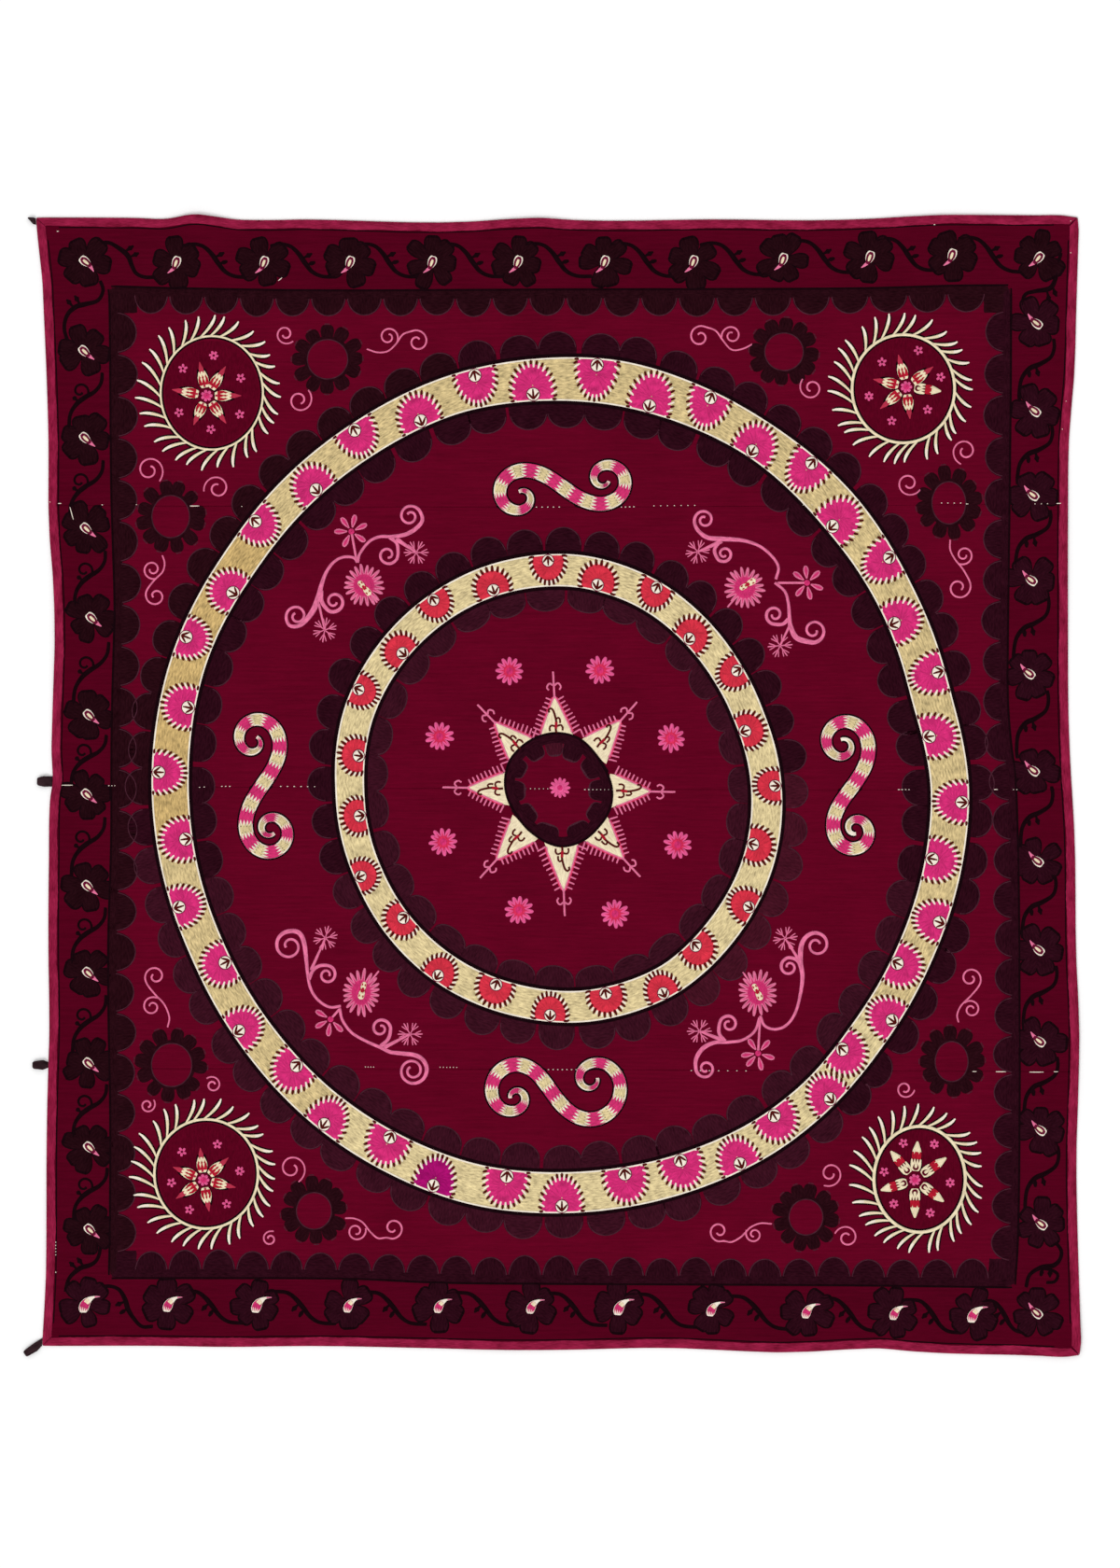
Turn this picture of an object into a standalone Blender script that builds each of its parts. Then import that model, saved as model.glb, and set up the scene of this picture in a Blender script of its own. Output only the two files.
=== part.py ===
"""A suzani: four joined cotton panels, a folded binding along each edge and four hanging loops of tape.

The textile lies face up. X runs along the panels, Y across them towards the top edge, and the
underside rests at Z = 0. The origin is at the middle of the whole piece, on the surface it lies on.
"""

import math
from collections import namedtuple

import bmesh
import bpy
import numpy as np

MM = 0.001

# Driving sizes
PANEL_THICKNESS = 1.6 * MM
TAPE_THICKNESS = 0.8 * MM
LOOP_THICKNESS = 1.0 * MM
BINDING_WIDTH = 18 * MM
CLEARANCE = 0.35 * MM
LOOP_EYE_HEIGHT = 4.8 * MM
LOOP_ROOT_EASE = 0.1 * MM

# The four edges as straight lines, measured from the middle of the whole piece
LEFT_LINE = -1028 * MM
RIGHT_LINE = 1062 * MM
TOP_LINE = 1152 * MM
BOTTOM_LINE = -1145 * MM
WIDTH = RIGHT_LINE - LEFT_LINE
LENGTH = TOP_LINE - BOTTOM_LINE

# Spacing of the points that carry the cloth's unevenness
POINT_SPACING = 68 * MM
FLAT_MARGIN = 20 * MM
SETTLE_MARGIN = 46 * MM

Waver = namedtuple("Waver", "along out")
Seam = namedtuple("Seam", "height fall bow")
Fold = namedtuple("Fold", "x y reach_x reach_y height")
Side = namedtuple("Side", "out lower upper")
Loop = namedtuple("Loop", "name x y turn length rise root_low root_high sides")

# How far each edge stands out from its line, in millimetres along and out
LEFT_EDGE = (
    Waver(-1141, 11),
    Waver(-1090, 8),
    Waver(-1023, 4),
    Waver(-890, 2),
    Waver(-757, 2),
    Waver(-624, 0),
    Waver(-491, -4),
    Waver(-358, -2),
    Waver(-92, -4),
    Waver(-14, -6),
    Waver(-5, -10),
    Waver(41, -8),
    Waver(174, -11),
    Waver(307, -15),
    Waver(440, -10),
    Waver(506, -4),
    Waver(706, -2),
    Waver(839, 2),
    Waver(972, 8),
    Waver(1038, 11),
    Waver(1105, 19),
    Waver(1156, 24),
)
RIGHT_EDGE = (
    Waver(-1157, 8),
    Waver(-1150, 12),
    Waver(-1139, 14),
    Waver(-1118, 13),
    Waver(-1023, 10),
    Waver(-890, 6),
    Waver(-757, 4),
    Waver(-624, 8),
    Waver(-491, 10),
    Waver(-358, 4),
    Waver(-92, 0),
    Waver(41, -8),
    Waver(107, -11),
    Waver(307, -13),
    Waver(573, -13),
    Waver(706, -11),
    Waver(839, 0),
    Waver(972, 4),
    Waver(1105, 8),
    Waver(1141, 9),
    Waver(1156, 5),
)
TOP_EDGE = (
    Waver(-1052, 4),
    Waver(-840, 3),
    Waver(-773, 2),
    Waver(-751, 8),
    Waver(-726, 11),
    Waver(-703, 8),
    Waver(-669, 2),
    Waver(-498, 0),
    Waver(-156, -4),
    Waver(-99, 0),
    Waver(-42, 4),
    Waver(15, 0),
    Waver(357, 0),
    Waver(528, -2),
    Waver(699, 4),
    Waver(756, 8),
    Waver(870, 9),
    Waver(984, 8),
    Waver(1051, 7),
    Waver(1066, 3),
)
BOTTOM_EDGE = (
    Waver(-1039, -4),
    Waver(-783, -4),
    Waver(-669, -2),
    Waver(-498, -4),
    Waver(-270, 0),
    Waver(-99, 4),
    Waver(15, 4),
    Waver(243, 0),
    Waver(357, 5),
    Waver(471, 9),
    Waver(585, 4),
    Waver(642, 0),
    Waver(756, 9),
    Waver(870, 13),
    Waver(984, 15),
    Waver(1045, 18),
    Waver(1060, 17),
    Waver(1070, 12),
)

# Seams from bottom to top: height at the middle in millimetres, fall for each metre to the right,
# and how far the ends stand above the middle, one metre from it
SEAMS = (
    Seam(-578, 3, -1),
    Seam(-7, 4, 2.5),
    Seam(567, -1.5, 5),
)

# Places where the cloth stands off the surface, in millimetres from the middle of the piece
PUCKER_X = -726
FOLDS = (
    Fold(PUCKER_X, 1150, 62, 150, 7),
    Fold(-42, 1150, 110, 130, 4),
    Fold(800, 1150, 210, 120, 3),
    Fold(-1015, 300, 120, 230, 3),
    Fold(1050, 470, 120, 260, 3),
    Fold(1060, -520, 110, 200, 2.5),
    Fold(-1030, -900, 100, 170, 2),
    Fold(455, -1150, 130, 110, 3.5),
    Fold(-90, -1150, 150, 110, 3),
    Fold(1040, -1140, 140, 130, 4),
    Fold(-560, 568, 180, 90, 2.2),
    Fold(640, 568, 210, 80, 2),
    Fold(-860, -4, 170, 80, 2.4),
    Fold(300, -4, 260, 90, 2),
    Fold(900, -8, 150, 80, 2.2),
    Fold(-420, -578, 200, 90, 2.2),
    Fold(520, -579, 230, 80, 2),
)

# Loops, in millimetres from the middle of the piece. Each lies turned down from the -X direction by
# so many degrees, rises from its root to full height over its rise, and has both sides of its tape
# at distances out along it. Its root lies along the left edge between two heights.
LOOPS = (
    Loop("hanging_loop_1", -1052.4, 1148.6, 0, 15.6, 5, 1141.2, 1154.8, (
        Side(5, -6, 7),
        Side(10, 0, 7),
        Side(15.6, 5.2, 7),
    )),
    Loop("hanging_loop_2", -1018.6, 8, 0, 30.6, 17, -2.4, 18.4, (
        Side(17, -10.9, 10.9),
        Side(20, -10.9, 10.9),
        Side(26, -9.2, 9.2),
        Side(29, -7.2, 7.2),
        Side(30.6, -4.5, 4.5),
    )),
    Loop("hanging_loop_3", -1027, -569, 0, 31.6, 10, -574.8, -563.2, (
        Side(10, -9.6, 10),
        Side(16, -10.8, 10.8),
        Side(24, -9.8, 9.8),
        Side(29, -7.2, 7.2),
        Side(31.6, -4.2, 4.2),
    )),
    Loop("hanging_loop_4", -1037.4, -1133.6, 33, 44, 19, -1140.6, -1124.2, (
        Side(19, -8.4, 8.4),
        Side(35, -8.4, 8.4),
        Side(40, -7.2, 7.2),
        Side(42.5, -5.6, 5.6),
        Side(44, -3.4, 3.4),
    )),
)
LOOP_BIGHT_STEPS = 6
LOOP_RISE_STEPS = 5

# Colours as linear red, green and blue, with the roughness of each cloth
GROUND_COLOUR = (0.135, 0.0, 0.013, 1.0)
BINDING_COLOUR = (0.29, 0.003, 0.044, 1.0)
LOOP_COLOUR = (0.008, 0.004, 0.007, 1.0)
GROUND_ROUGHNESS = 0.62
BINDING_ROUGHNESS = 0.7
LOOP_ROUGHNESS = 0.8


def clear_scene():
    """Remove every object that the file starts with."""
    for leftover in list(bpy.data.objects):
        bpy.data.objects.remove(leftover, do_unlink=True)


def smooth_value(table, along):
    """Read a table of wavers, in metres, on a smooth curve through its rows."""
    places = np.array([row.along for row in table]) * MM
    values = np.array([row.out for row in table]) * MM
    slopes = np.gradient(values, places)
    along = min(max(along, places[0]), places[-1])
    k = int(np.clip(np.searchsorted(places, along) - 1, 0, len(places) - 2))
    span = places[k + 1] - places[k]
    t = (along - places[k]) / span
    start = (1 + 2 * t) * (1 - t) ** 2 * values[k] + t * (1 - t) ** 2 * span * slopes[k]
    end = t ** 2 * (3 - 2 * t) * values[k + 1] - t ** 2 * (1 - t) * span * slopes[k + 1]
    return start + end


def seam_height(seam, x):
    """The place in Y of a seam at a distance X along it."""
    return (seam.height - seam.fall * x + seam.bow * x * x) * MM


SEAM_MARKS = [seam_height(seam, 0.0) - BOTTOM_LINE for seam in SEAMS]
ROW_MARKS = [0.0, *SEAM_MARKS, LENGTH]


def place(across, up):
    """Bend a point of the plain rectangle to the cloth's own outline and seams."""
    x = LEFT_LINE + across
    y = BOTTOM_LINE + up
    for _ in range(4):
        left = LEFT_LINE - smooth_value(LEFT_EDGE, y)
        right = RIGHT_LINE + smooth_value(RIGHT_EDGE, y)
        x = left + (right - left) * across / WIDTH
        low = BOTTOM_LINE - smooth_value(BOTTOM_EDGE, x)
        high = TOP_LINE + smooth_value(TOP_EDGE, x)
        heights = [low, *[seam_height(seam, x) for seam in SEAMS], high]
        y = float(np.interp(up, ROW_MARKS, heights))
    return x, y


def bump(t):
    """A soft hump that is 1 in its middle and dies away at 1 to either side."""
    return (1 - t * t) ** 2 if abs(t) < 1 else 0.0


def lift(across, up):
    """How far the folds raise the cloth; across the binding it stays as at the margin."""
    across = min(max(across, FLAT_MARGIN), WIDTH - FLAT_MARGIN)
    up = min(max(up, FLAT_MARGIN), LENGTH - FLAT_MARGIN)
    x, y = place(across, up)
    height = 0.0
    for fold in FOLDS:
        beside = (x / MM - fold.x) / fold.reach_x
        above = (y / MM - fold.y) / fold.reach_y
        height += fold.height * MM * bump(beside) * bump(above)
    return height


def panel_point(across, up):
    """A point on the underside of the panels, which climb onto the binding near the edges."""
    inset = min(across, WIDTH - across, up, LENGTH - up)
    t = min(max((inset - FLAT_MARGIN) / (SETTLE_MARGIN - FLAT_MARGIN), 0.0), 1.0)
    settle = 1 - t * t * (3 - 2 * t)
    x, y = place(across, up)
    return x, y, settle * (TAPE_THICKNESS + CLEARANCE) + lift(across, up)


def spread(start, end, extras=()):
    """Even steps from start to end, with extra marks that push away the steps close to them."""
    count = max(2, round((end - start) / POINT_SPACING) + 1)
    steps = [start + (end - start) * k / (count - 1) for k in range(count)]
    inner = [s for s in steps[1:-1] if all(abs(s - mark) > POINT_SPACING / 3 for mark in extras)]
    return sorted([start, *inner, *[mark for mark in extras if start < mark < end], end])


def build_material(name, colour, roughness):
    """A plain cloth finish."""
    material = bpy.data.materials.new(name)
    material.use_nodes = True
    shader = material.node_tree.nodes["Principled BSDF"]
    shader.inputs["Base Color"].default_value = colour
    shader.inputs["Roughness"].default_value = roughness
    shader.inputs["Metallic"].default_value = 0.0
    material.diffuse_color = colour
    return material


def build_sheet(name, columns, rows, point, thickness, offset, finish, parts):
    """Bend a flat grid over a surface and give it its thickness."""
    form = bmesh.new()
    bmesh.ops.create_grid(form, x_segments=len(columns) - 1, y_segments=len(rows) - 1, size=1.0)
    for corner in form.verts:
        i = round((corner.co.x + 1) / 2 * (len(columns) - 1))
        j = round((corner.co.y + 1) / 2 * (len(rows) - 1))
        corner.co = point(columns[i], rows[j])
    mesh = bpy.data.meshes.new(name)
    form.to_mesh(mesh)
    form.free()
    mesh.shade_smooth()
    sheet = bpy.data.objects.new(name, mesh)
    parts.objects.link(sheet)
    solidify = sheet.modifiers.new("Thickness", "SOLIDIFY")
    solidify.thickness = thickness
    solidify.offset = offset
    solidify.use_even_offset = True
    mesh.materials.append(build_material(name + "_cloth", *finish))
    return sheet


def column_marks():
    """The places across the cloth that carry its points, from the left edge to the right."""
    inset = TAPE_THICKNESS + 1 * MM
    pucker = PUCKER_X * MM - LEFT_LINE
    pucker_marks = [pucker + step * 23 * MM for step in (-2, -1, 0, 1, 2)]
    edge_marks = [FLAT_MARGIN, SETTLE_MARGIN, WIDTH - SETTLE_MARGIN, WIDTH - FLAT_MARGIN]
    return spread(inset, WIDTH - inset, [*edge_marks, *pucker_marks])


def row_marks(index):
    """The places up one panel that carry its points, from its lower edge to its upper one."""
    inset = TAPE_THICKNESS + 1 * MM
    low = ROW_MARKS[index] + (inset if index == 0 else CLEARANCE / 2)
    high = ROW_MARKS[index + 1] - (inset if index == len(SEAMS) else CLEARANCE / 2)
    near_middle_seam = [SEAM_MARKS[1] + step * MM for step in (-14, -4.5, 22)]
    edge_marks = [FLAT_MARGIN, SETTLE_MARGIN, LENGTH - SETTLE_MARGIN, LENGTH - FLAT_MARGIN]
    return spread(low, high, [*edge_marks, *near_middle_seam])


def build_panels(parts):
    """The four lengths of ground cloth, counted from the top edge down."""
    finish = (GROUND_COLOUR, GROUND_ROUGHNESS)
    for index in range(len(SEAMS) + 1):
        name = f"panel_{len(SEAMS) + 1 - index}"
        rows = row_marks(index)
        build_sheet(name, column_marks(), rows, panel_point, PANEL_THICKNESS, 1.0, finish, parts)


def binding_profile():
    """The folded tape's middle line as (inset from the edge, height), from its lower wall to its upper."""
    half = TAPE_THICKNESS / 2
    top = TAPE_THICKNESS + CLEARANCE + PANEL_THICKNESS + CLEARANCE + half
    turn = 1 * MM
    return [
        (BINDING_WIDTH, half),
        (half + turn, half),
        (half, half + turn),
        (half, top - turn),
        (half + turn, top),
        (BINDING_WIDTH, top),
    ]


def binding_stations(marks, full):
    """Stations along a binding as (place, lean): a leaning one meets the mitre of a corner."""
    mitre = CLEARANCE * math.sqrt(0.5) + TAPE_THICKNESS / 2
    start = [(mitre, 1.0), (FLAT_MARGIN / 3, 2 / 3), (FLAT_MARGIN * 2 / 3, 1 / 3)]
    middle = [(mark, 0.0) for mark in marks if FLAT_MARGIN <= mark <= full - FLAT_MARGIN]
    end = [(full - along, -lean) for along, lean in reversed(start)]
    return start + middle + end


def build_bindings(parts):
    """The four lengths of tape, each folded round an edge and mitred at the corners."""
    up_marks = [FLAT_MARGIN, LENGTH - FLAT_MARGIN, *SEAM_MARKS]
    for index in range(len(SEAMS) + 1):
        up_marks += row_marks(index)[1:-1]
    up_marks = sorted(set(up_marks))
    profile = binding_profile()
    across = binding_stations(column_marks(), WIDTH)
    upward = binding_stations(up_marks, LENGTH)

    def tape_point(nominal, height):
        x, y = place(*nominal)
        return x, y, height + lift(*nominal)

    def top_point(station, fold):
        return tape_point((station[0] + station[1] * fold[0], LENGTH - fold[0]), fold[1])

    def bottom_point(station, fold):
        return tape_point((station[0] + station[1] * fold[0], fold[0]), fold[1])

    def left_point(station, fold):
        return tape_point((fold[0], station[0] + station[1] * fold[0]), fold[1])

    def right_point(station, fold):
        return tape_point((WIDTH - fold[0], station[0] + station[1] * fold[0]), fold[1])

    finish = (BINDING_COLOUR, BINDING_ROUGHNESS)
    build_sheet("binding_top", across, profile, top_point, TAPE_THICKNESS, 0.0, finish, parts)
    build_sheet("binding_bottom", across, profile, bottom_point, TAPE_THICKNESS, 0.0, finish, parts)
    build_sheet("binding_left", upward, profile, left_point, TAPE_THICKNESS, 0.0, finish, parts)
    build_sheet("binding_right", upward, profile, right_point, TAPE_THICKNESS, 0.0, finish, parts)


def loop_path(loop):
    """The middle line of a doubled tape as (distance out, height): out low, round its eye and back."""
    half = LOOP_THICKNESS / 2
    turn = (LOOP_EYE_HEIGHT + LOOP_THICKNESS) / 2
    bend = loop.length * MM - half - turn
    path = [(0.0, half), (loop.rise * MM, half)]
    for k in range(LOOP_BIGHT_STEPS + 1):
        angle = math.pi * (k / LOOP_BIGHT_STEPS - 0.5)
        path.append((bend + turn * math.cos(angle), half + turn + turn * math.sin(angle)))
    low = half + LOOP_THICKNESS + CLEARANCE
    high = half + 2 * turn
    for k in range(LOOP_RISE_STEPS + 1):
        t = 1 - k / LOOP_RISE_STEPS
        path.append((loop.rise * MM * t, low + (high - low) * t * t * (3 - 2 * t)))
    return path


def edge_place(y):
    """The outline's own point on the left edge at a height in millimetres."""
    up = np.interp(y * MM, [BOTTOM_LINE, *[seam_height(seam, LEFT_LINE) for seam in SEAMS], TOP_LINE], ROW_MARKS)
    return place(0.0, float(up))[0]


def build_loop(loop, parts):
    """One doubled tape, from its root on the edge out round its eye and back."""
    turn = math.radians(loop.turn)
    outs = [side.out for side in loop.sides]
    roots = {side: y for side, y in ((-1, loop.root_low), (1, loop.root_high))}

    def frame_point(out, edge):
        beside = np.interp(out, outs, [side.lower if edge < 0 else side.upper for side in loop.sides])
        x = loop.x - out * math.cos(turn) - beside * math.sin(turn)
        y = loop.y - out * math.sin(turn) + beside * math.cos(turn)
        return x * MM, y * MM

    def tape_point(step, edge):
        out = step[0] / MM
        x, y = frame_point(max(out, loop.rise), edge)
        t = min(out / loop.rise, 1.0)
        root_x = edge_place(roots[edge]) - CLEARANCE - LOOP_ROOT_EASE
        return root_x + (x - root_x) * t, roots[edge] * MM + (y - roots[edge] * MM) * t, step[1]

    finish = (LOOP_COLOUR, LOOP_ROUGHNESS)
    build_sheet(loop.name, loop_path(loop), (-1, 1), tape_point, LOOP_THICKNESS, 0.0, finish, parts)


def main():
    """Build the whole piece in a collection of its own."""
    clear_scene()
    parts = bpy.data.collections.new("suzani")
    bpy.context.scene.collection.children.link(parts)
    build_panels(parts)
    build_bindings(parts)
    for loop in LOOPS:
        build_loop(loop, parts)


main()
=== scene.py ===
"""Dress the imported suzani: its cloth, tape and embroidery, lit in a plain studio and seen from above.

Motifs are drawn in photo pixels, x to the right and y down, and laid on the cloth, where a pixel is
1.9 mm. Angles are in degrees, counterclockwise from the right as the photo shows them.
"""
import math
from collections import namedtuple

import bpy
import numpy as np
from mathutils.bvhtree import BVHTree
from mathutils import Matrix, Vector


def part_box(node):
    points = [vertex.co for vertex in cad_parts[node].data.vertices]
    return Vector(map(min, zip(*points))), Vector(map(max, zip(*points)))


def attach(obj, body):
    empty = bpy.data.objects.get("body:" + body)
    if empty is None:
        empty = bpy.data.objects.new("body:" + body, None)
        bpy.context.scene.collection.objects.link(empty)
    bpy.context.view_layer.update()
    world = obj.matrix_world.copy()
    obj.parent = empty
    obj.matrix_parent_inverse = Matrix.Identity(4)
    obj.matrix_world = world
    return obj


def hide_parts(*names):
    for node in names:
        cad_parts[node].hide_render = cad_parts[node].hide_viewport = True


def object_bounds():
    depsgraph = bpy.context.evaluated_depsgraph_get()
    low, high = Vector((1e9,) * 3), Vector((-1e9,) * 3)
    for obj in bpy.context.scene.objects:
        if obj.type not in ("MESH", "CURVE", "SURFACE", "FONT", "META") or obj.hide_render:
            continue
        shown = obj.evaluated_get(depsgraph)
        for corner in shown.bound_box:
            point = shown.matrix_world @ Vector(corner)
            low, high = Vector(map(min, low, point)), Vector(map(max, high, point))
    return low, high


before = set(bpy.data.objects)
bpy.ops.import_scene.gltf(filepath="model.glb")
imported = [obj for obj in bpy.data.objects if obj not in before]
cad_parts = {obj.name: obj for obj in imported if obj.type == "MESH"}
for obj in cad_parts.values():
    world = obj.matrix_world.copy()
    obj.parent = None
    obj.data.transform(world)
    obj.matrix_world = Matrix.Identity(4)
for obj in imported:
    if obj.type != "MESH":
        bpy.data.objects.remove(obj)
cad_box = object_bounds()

MM = 0.001
PX = 1.9 * MM
MIDDLE_X = 592.0
MIDDLE_Y = 841.5
PHOTO_CENTRE = (600.0, 840.0)
PHOTO_HEIGHT = 1680

# Light and camera
SKY_STRENGTH = 0.85
SUN_STRENGTH = 1.1
SUN_SPREAD = 25
SUN_TILT = (35, -30, 0)
LENS = 100
SENSOR = 36
FLOOR_SIZE = 14
FLOOR_DROP = 0.4 * MM

# Sizes of the cloth and tape
CLOTH_THICKNESS = 1.4 * MM
TAPE_THICKNESS = 0.8 * MM
BINDING_WIDTH = 18 * MM
FLAT_TOP = 2.75 * MM
CLOTH_STEP = 12 * MM
CLOTH_COLUMNS = 176
CLOTH_INSET = 2 * MM
TAPE_STEP = 5 * MM
HEIGHT_STEP = 10 * MM
SEAM_ROUNDING = 3.5 * MM
SEAM_DEPTH = 0.9 * MM
STITCH_SPACING = 15 * MM
# Inset of the dark line painted as the tape's shadow on the cloth, also standing for its row of stitches
TAPE_SHADOW_INSET = 20.5 * MM
MITRE_GAP = 0.65 * MM
MITRE_REACH = 20 * MM

# How high stitches stand above the cloth, in millimetres, from the lowest layer to the highest
ROOT = -0.15
LOW = 0.45
MIDDLE = 0.8
HIGH = 1.1
TOP = 1.4
ON_BINDING = 1.9

chance = np.random.default_rng(1907)

# Cross sections of a run of stitches: place across, from -1 to 1, and share of its rise
LINE = ((-1.0, 0.0), (-0.6, 0.9), (0.6, 0.9), (1.0, 0.0))
CORD = ((-1.0, 0.0), (-0.78, 0.75), (0.0, 1.0), (0.78, 0.75), (1.0, 0.0))
BAND = ((-1.0, 0.0), (-0.92, 0.85), (-0.4, 1.0), (0.0, 1.0), (0.4, 1.0), (0.92, 0.85), (1.0, 0.0))
OVER = ((-1.0, 0.9), (0.0, 1.0), (1.0, 0.9))

# Half widths of petals and leaves at even steps from root to tip, as shares of the widest
ROUND_PETAL = (0.55, 0.8, 0.95, 1.0, 0.98, 0.85, 0.4)
LONG_PETAL = (0.25, 0.5, 0.8, 1.0, 0.9, 0.4)
DROP = (0.7, 1.0, 1.0, 0.8, 0.5, 0.25, 0.08)
SPEAR = (0.6, 1.0, 0.9, 0.6, 0.3, 0.05)
PIP = (0.45, 0.85, 1.0, 1.0, 0.88, 0.7, 0.4)
TOOTH = (0.7, 1.0, 0.95, 0.5)
THUMB = (1.12, 1.08, 1.04, 1.0, 0.97, 0.93, 0.86, 0.7, 0.3)
ROSETTE_PETAL = (0.7, 0.82, 0.93, 1.0, 1.0, 0.88, 0.5)
BORDER_PETAL = (0.4, 0.55, 0.7, 0.85, 0.96, 1.0, 0.97, 0.82, 0.42)
NARROW_PETAL = (0.8, 0.85, 0.95, 1.0, 1.0, 0.8, 0.45)
LEAF = (0.7, 0.95, 1.25, 1.5, 1.7, 1.8, 1.75, 1.45, 0.9)

# How many petals and leaves some motifs have
WREATH_LEAVES = 31
THISTLE_PETALS = 20
ROSETTE_PETALS = 12
STAR_ROSETTE_PETALS = 12
SPIKES = 9

Seam = namedtuple("Seam", "height fall bow")
Crease = namedtuple("Crease", "x y toward reach width height")
Edge = namedtuple("Edge", "angle inner outer")
Fan = namedtuple("Fan", "angle eye")
Ring = namedtuple("Ring", "x y edges")
Scroll = namedtuple("Scroll", "x y heading first first_turn second second_turn winding")
Stem = namedtuple("Stem", "root swell place tip turns x y lead")
Flake = namedtuple("Flake", "x y turn foot_x foot_y wide")
Bloom = namedtuple("Bloom", "x y foot_x foot_y petals")
Thistle = namedtuple("Thistle", "x y across up hearts tail_x tail_y")
Wreath = namedtuple("Wreath", "x y across up flower_x flower_y petals sprigs ring reach banded")
Rosette = namedtuple("Rosette", "x y across up")
Curl = namedtuple("Curl", "x y eye_x eye_y way")
Pair = namedtuple("Pair", "line eye_x eye_y way branch_x branch_y second_x second_y second_way")
Hem = namedtuple("Hem", "line first last depth side_depth thread")
Dashes = namedtuple("Dashes", "x y to_x to_y count size")
Thread = namedtuple("Thread", "colour streaks shine")
Layer = namedtuple("Layer", "thread asides start end half rise shape section bend", defaults=(CORD, 0))
Look = namedtuple("Look", "thread half teeth eye cut")
Lobes = namedtuple("Lobes", "count phase depth side_depth stretches")


def table(kind, *rows):
    """A table whose rows have named columns."""
    return tuple(kind(*row) for row in rows)


def fans_of(first_eye, *angles):
    """Fan flowers at their angles, whose eyes stand on the two edges by turns."""
    return tuple(Fan(angle, (first_eye + k) % 2) for k, angle in enumerate(angles))


def drops_across(places, line):
    """Drops at places from left to right, on a line of a few points."""
    return tuple((x, float(np.interp(x, *zip(*line)))) for x in places)


def drops_down(places, line):
    """Drops at places from top to bottom, on a line of a few points."""
    return tuple((float(np.interp(y, *zip(*line))), y) for y in places)


# Seams from bottom to top: height at the middle in millimetres, fall for each metre to the right,
# and how far the ends stand above the middle, one metre from it
SEAMS = table(
    Seam,
    (-578, 3, -1),
    (-7, 4, 2.5),
    (567, -1.5, 5),
)

# Soft creases in the cloth: middle, direction, half length, half width and height in millimetres
CREASES = table(
    Crease,
    (-860, 930, 20, 210, 16, 0.7), (-700, 1010, 95, 120, 14, 0.8), (-300, 1040, 8, 260, 15, -0.6),
    (250, 1050, -6, 230, 16, 0.6), (760, 1000, 160, 220, 18, 0.7), (980, 760, 95, 240, 15, 0.6),
    (-960, 500, 88, 260, 16, -0.6), (-985, -260, 94, 260, 15, 0.7), (1000, 120, 86, 280, 17, -0.6),
    (985, -520, 92, 250, 15, 0.7), (-880, -960, 140, 220, 16, 0.7), (-420, -1050, 4, 260, 16, -0.6),
    (180, -1040, -5, 280, 15, 0.6), (800, -1010, 30, 240, 17, 0.7), (-250, 250, 35, 190, 22, 0.4),
    (310, -230, 140, 210, 24, 0.4), (-620, -300, 70, 240, 22, -0.4), (600, 330, 110, 230, 22, 0.4),
)

# Heights in millimetres of the faint ripples all over the cloth and of the puckers beside its seams
RIPPLE_HEIGHT = 0.12
PUCKER_HEIGHT = 0.22
PUCKER_REACH = 22 * MM

# The edge of a ring that a fan flower's eye stands on
IN = 0
OUT = 1

# Radii of the two rings' edges, read where a ring swells or draws in
OUTER_RING = Ring(602, 841, table(
    Edge,
    (0, 396, 436), (13, 385, 427), (30, 390, 431), (45, 394, 441), (60, 405, 446), (82, 411, 459),
    (105, 414, 455), (120, 407, 447), (145, 400, 438), (160, 403, 440), (180, 400, 439), (205, 400, 437),
    (220, 404, 443), (235, 410, 451), (258, 417, 460), (272, 415, 458), (300, 415, 455), (310, 411, 450),
    (320, 403, 443), (335, 399, 438),
))
INNER_RING = Ring(600, 844, table(
    Edge,
    (0, 205, 237), (20, 200, 232), (35, 201, 234), (50, 205, 239), (65, 211, 245), (85, 216, 250),
    (110, 217, 250), (160, 214, 246), (180, 210, 240), (205, 210, 240), (240, 214, 247), (260, 216, 249),
    (275, 219, 252), (300, 220, 253), (318, 214, 248), (340, 210, 243),
))

# Shades of cream round each ring, which change under a fan flower
OUTER_ARCS = ((139.3, 188.2, "straw"), (188.2, 235, "cream"), (235, 324.5, "pale"), (-35.5, 139.3, "cream"))
INNER_ARCS = ((0, 359, "pale"), (359, 361, "pale"))

# Lobes outside each ring and inside it, with the stretches that are worked in another thread
OUTER_LOBES = table(
    Lobes,
    (68, 175.2, 25, 4, ((105, 182, "soot"), (186, 310, "wine"))),
    (60, 173.6, 27, 8, ((195, 345, "wine"),)),
)
INNER_LOBES = table(
    Lobes,
    (40, 170.3, 27, 4, ((200, 305, "wine"), (305, 360, "mulberry"))),
    (31, 175.5, 23, 8, ((0, 360, "wine"),)),
)

# A ring's fan flowers: thread, half width, teeth, size of the eye and how far the white cuts reach in
OUTER_LOOK = Look("magenta", 25, 17, 7.4, 5)
INNER_LOOK = Look("coral", 21.2, 15, 6.8, 2.6)

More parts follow.
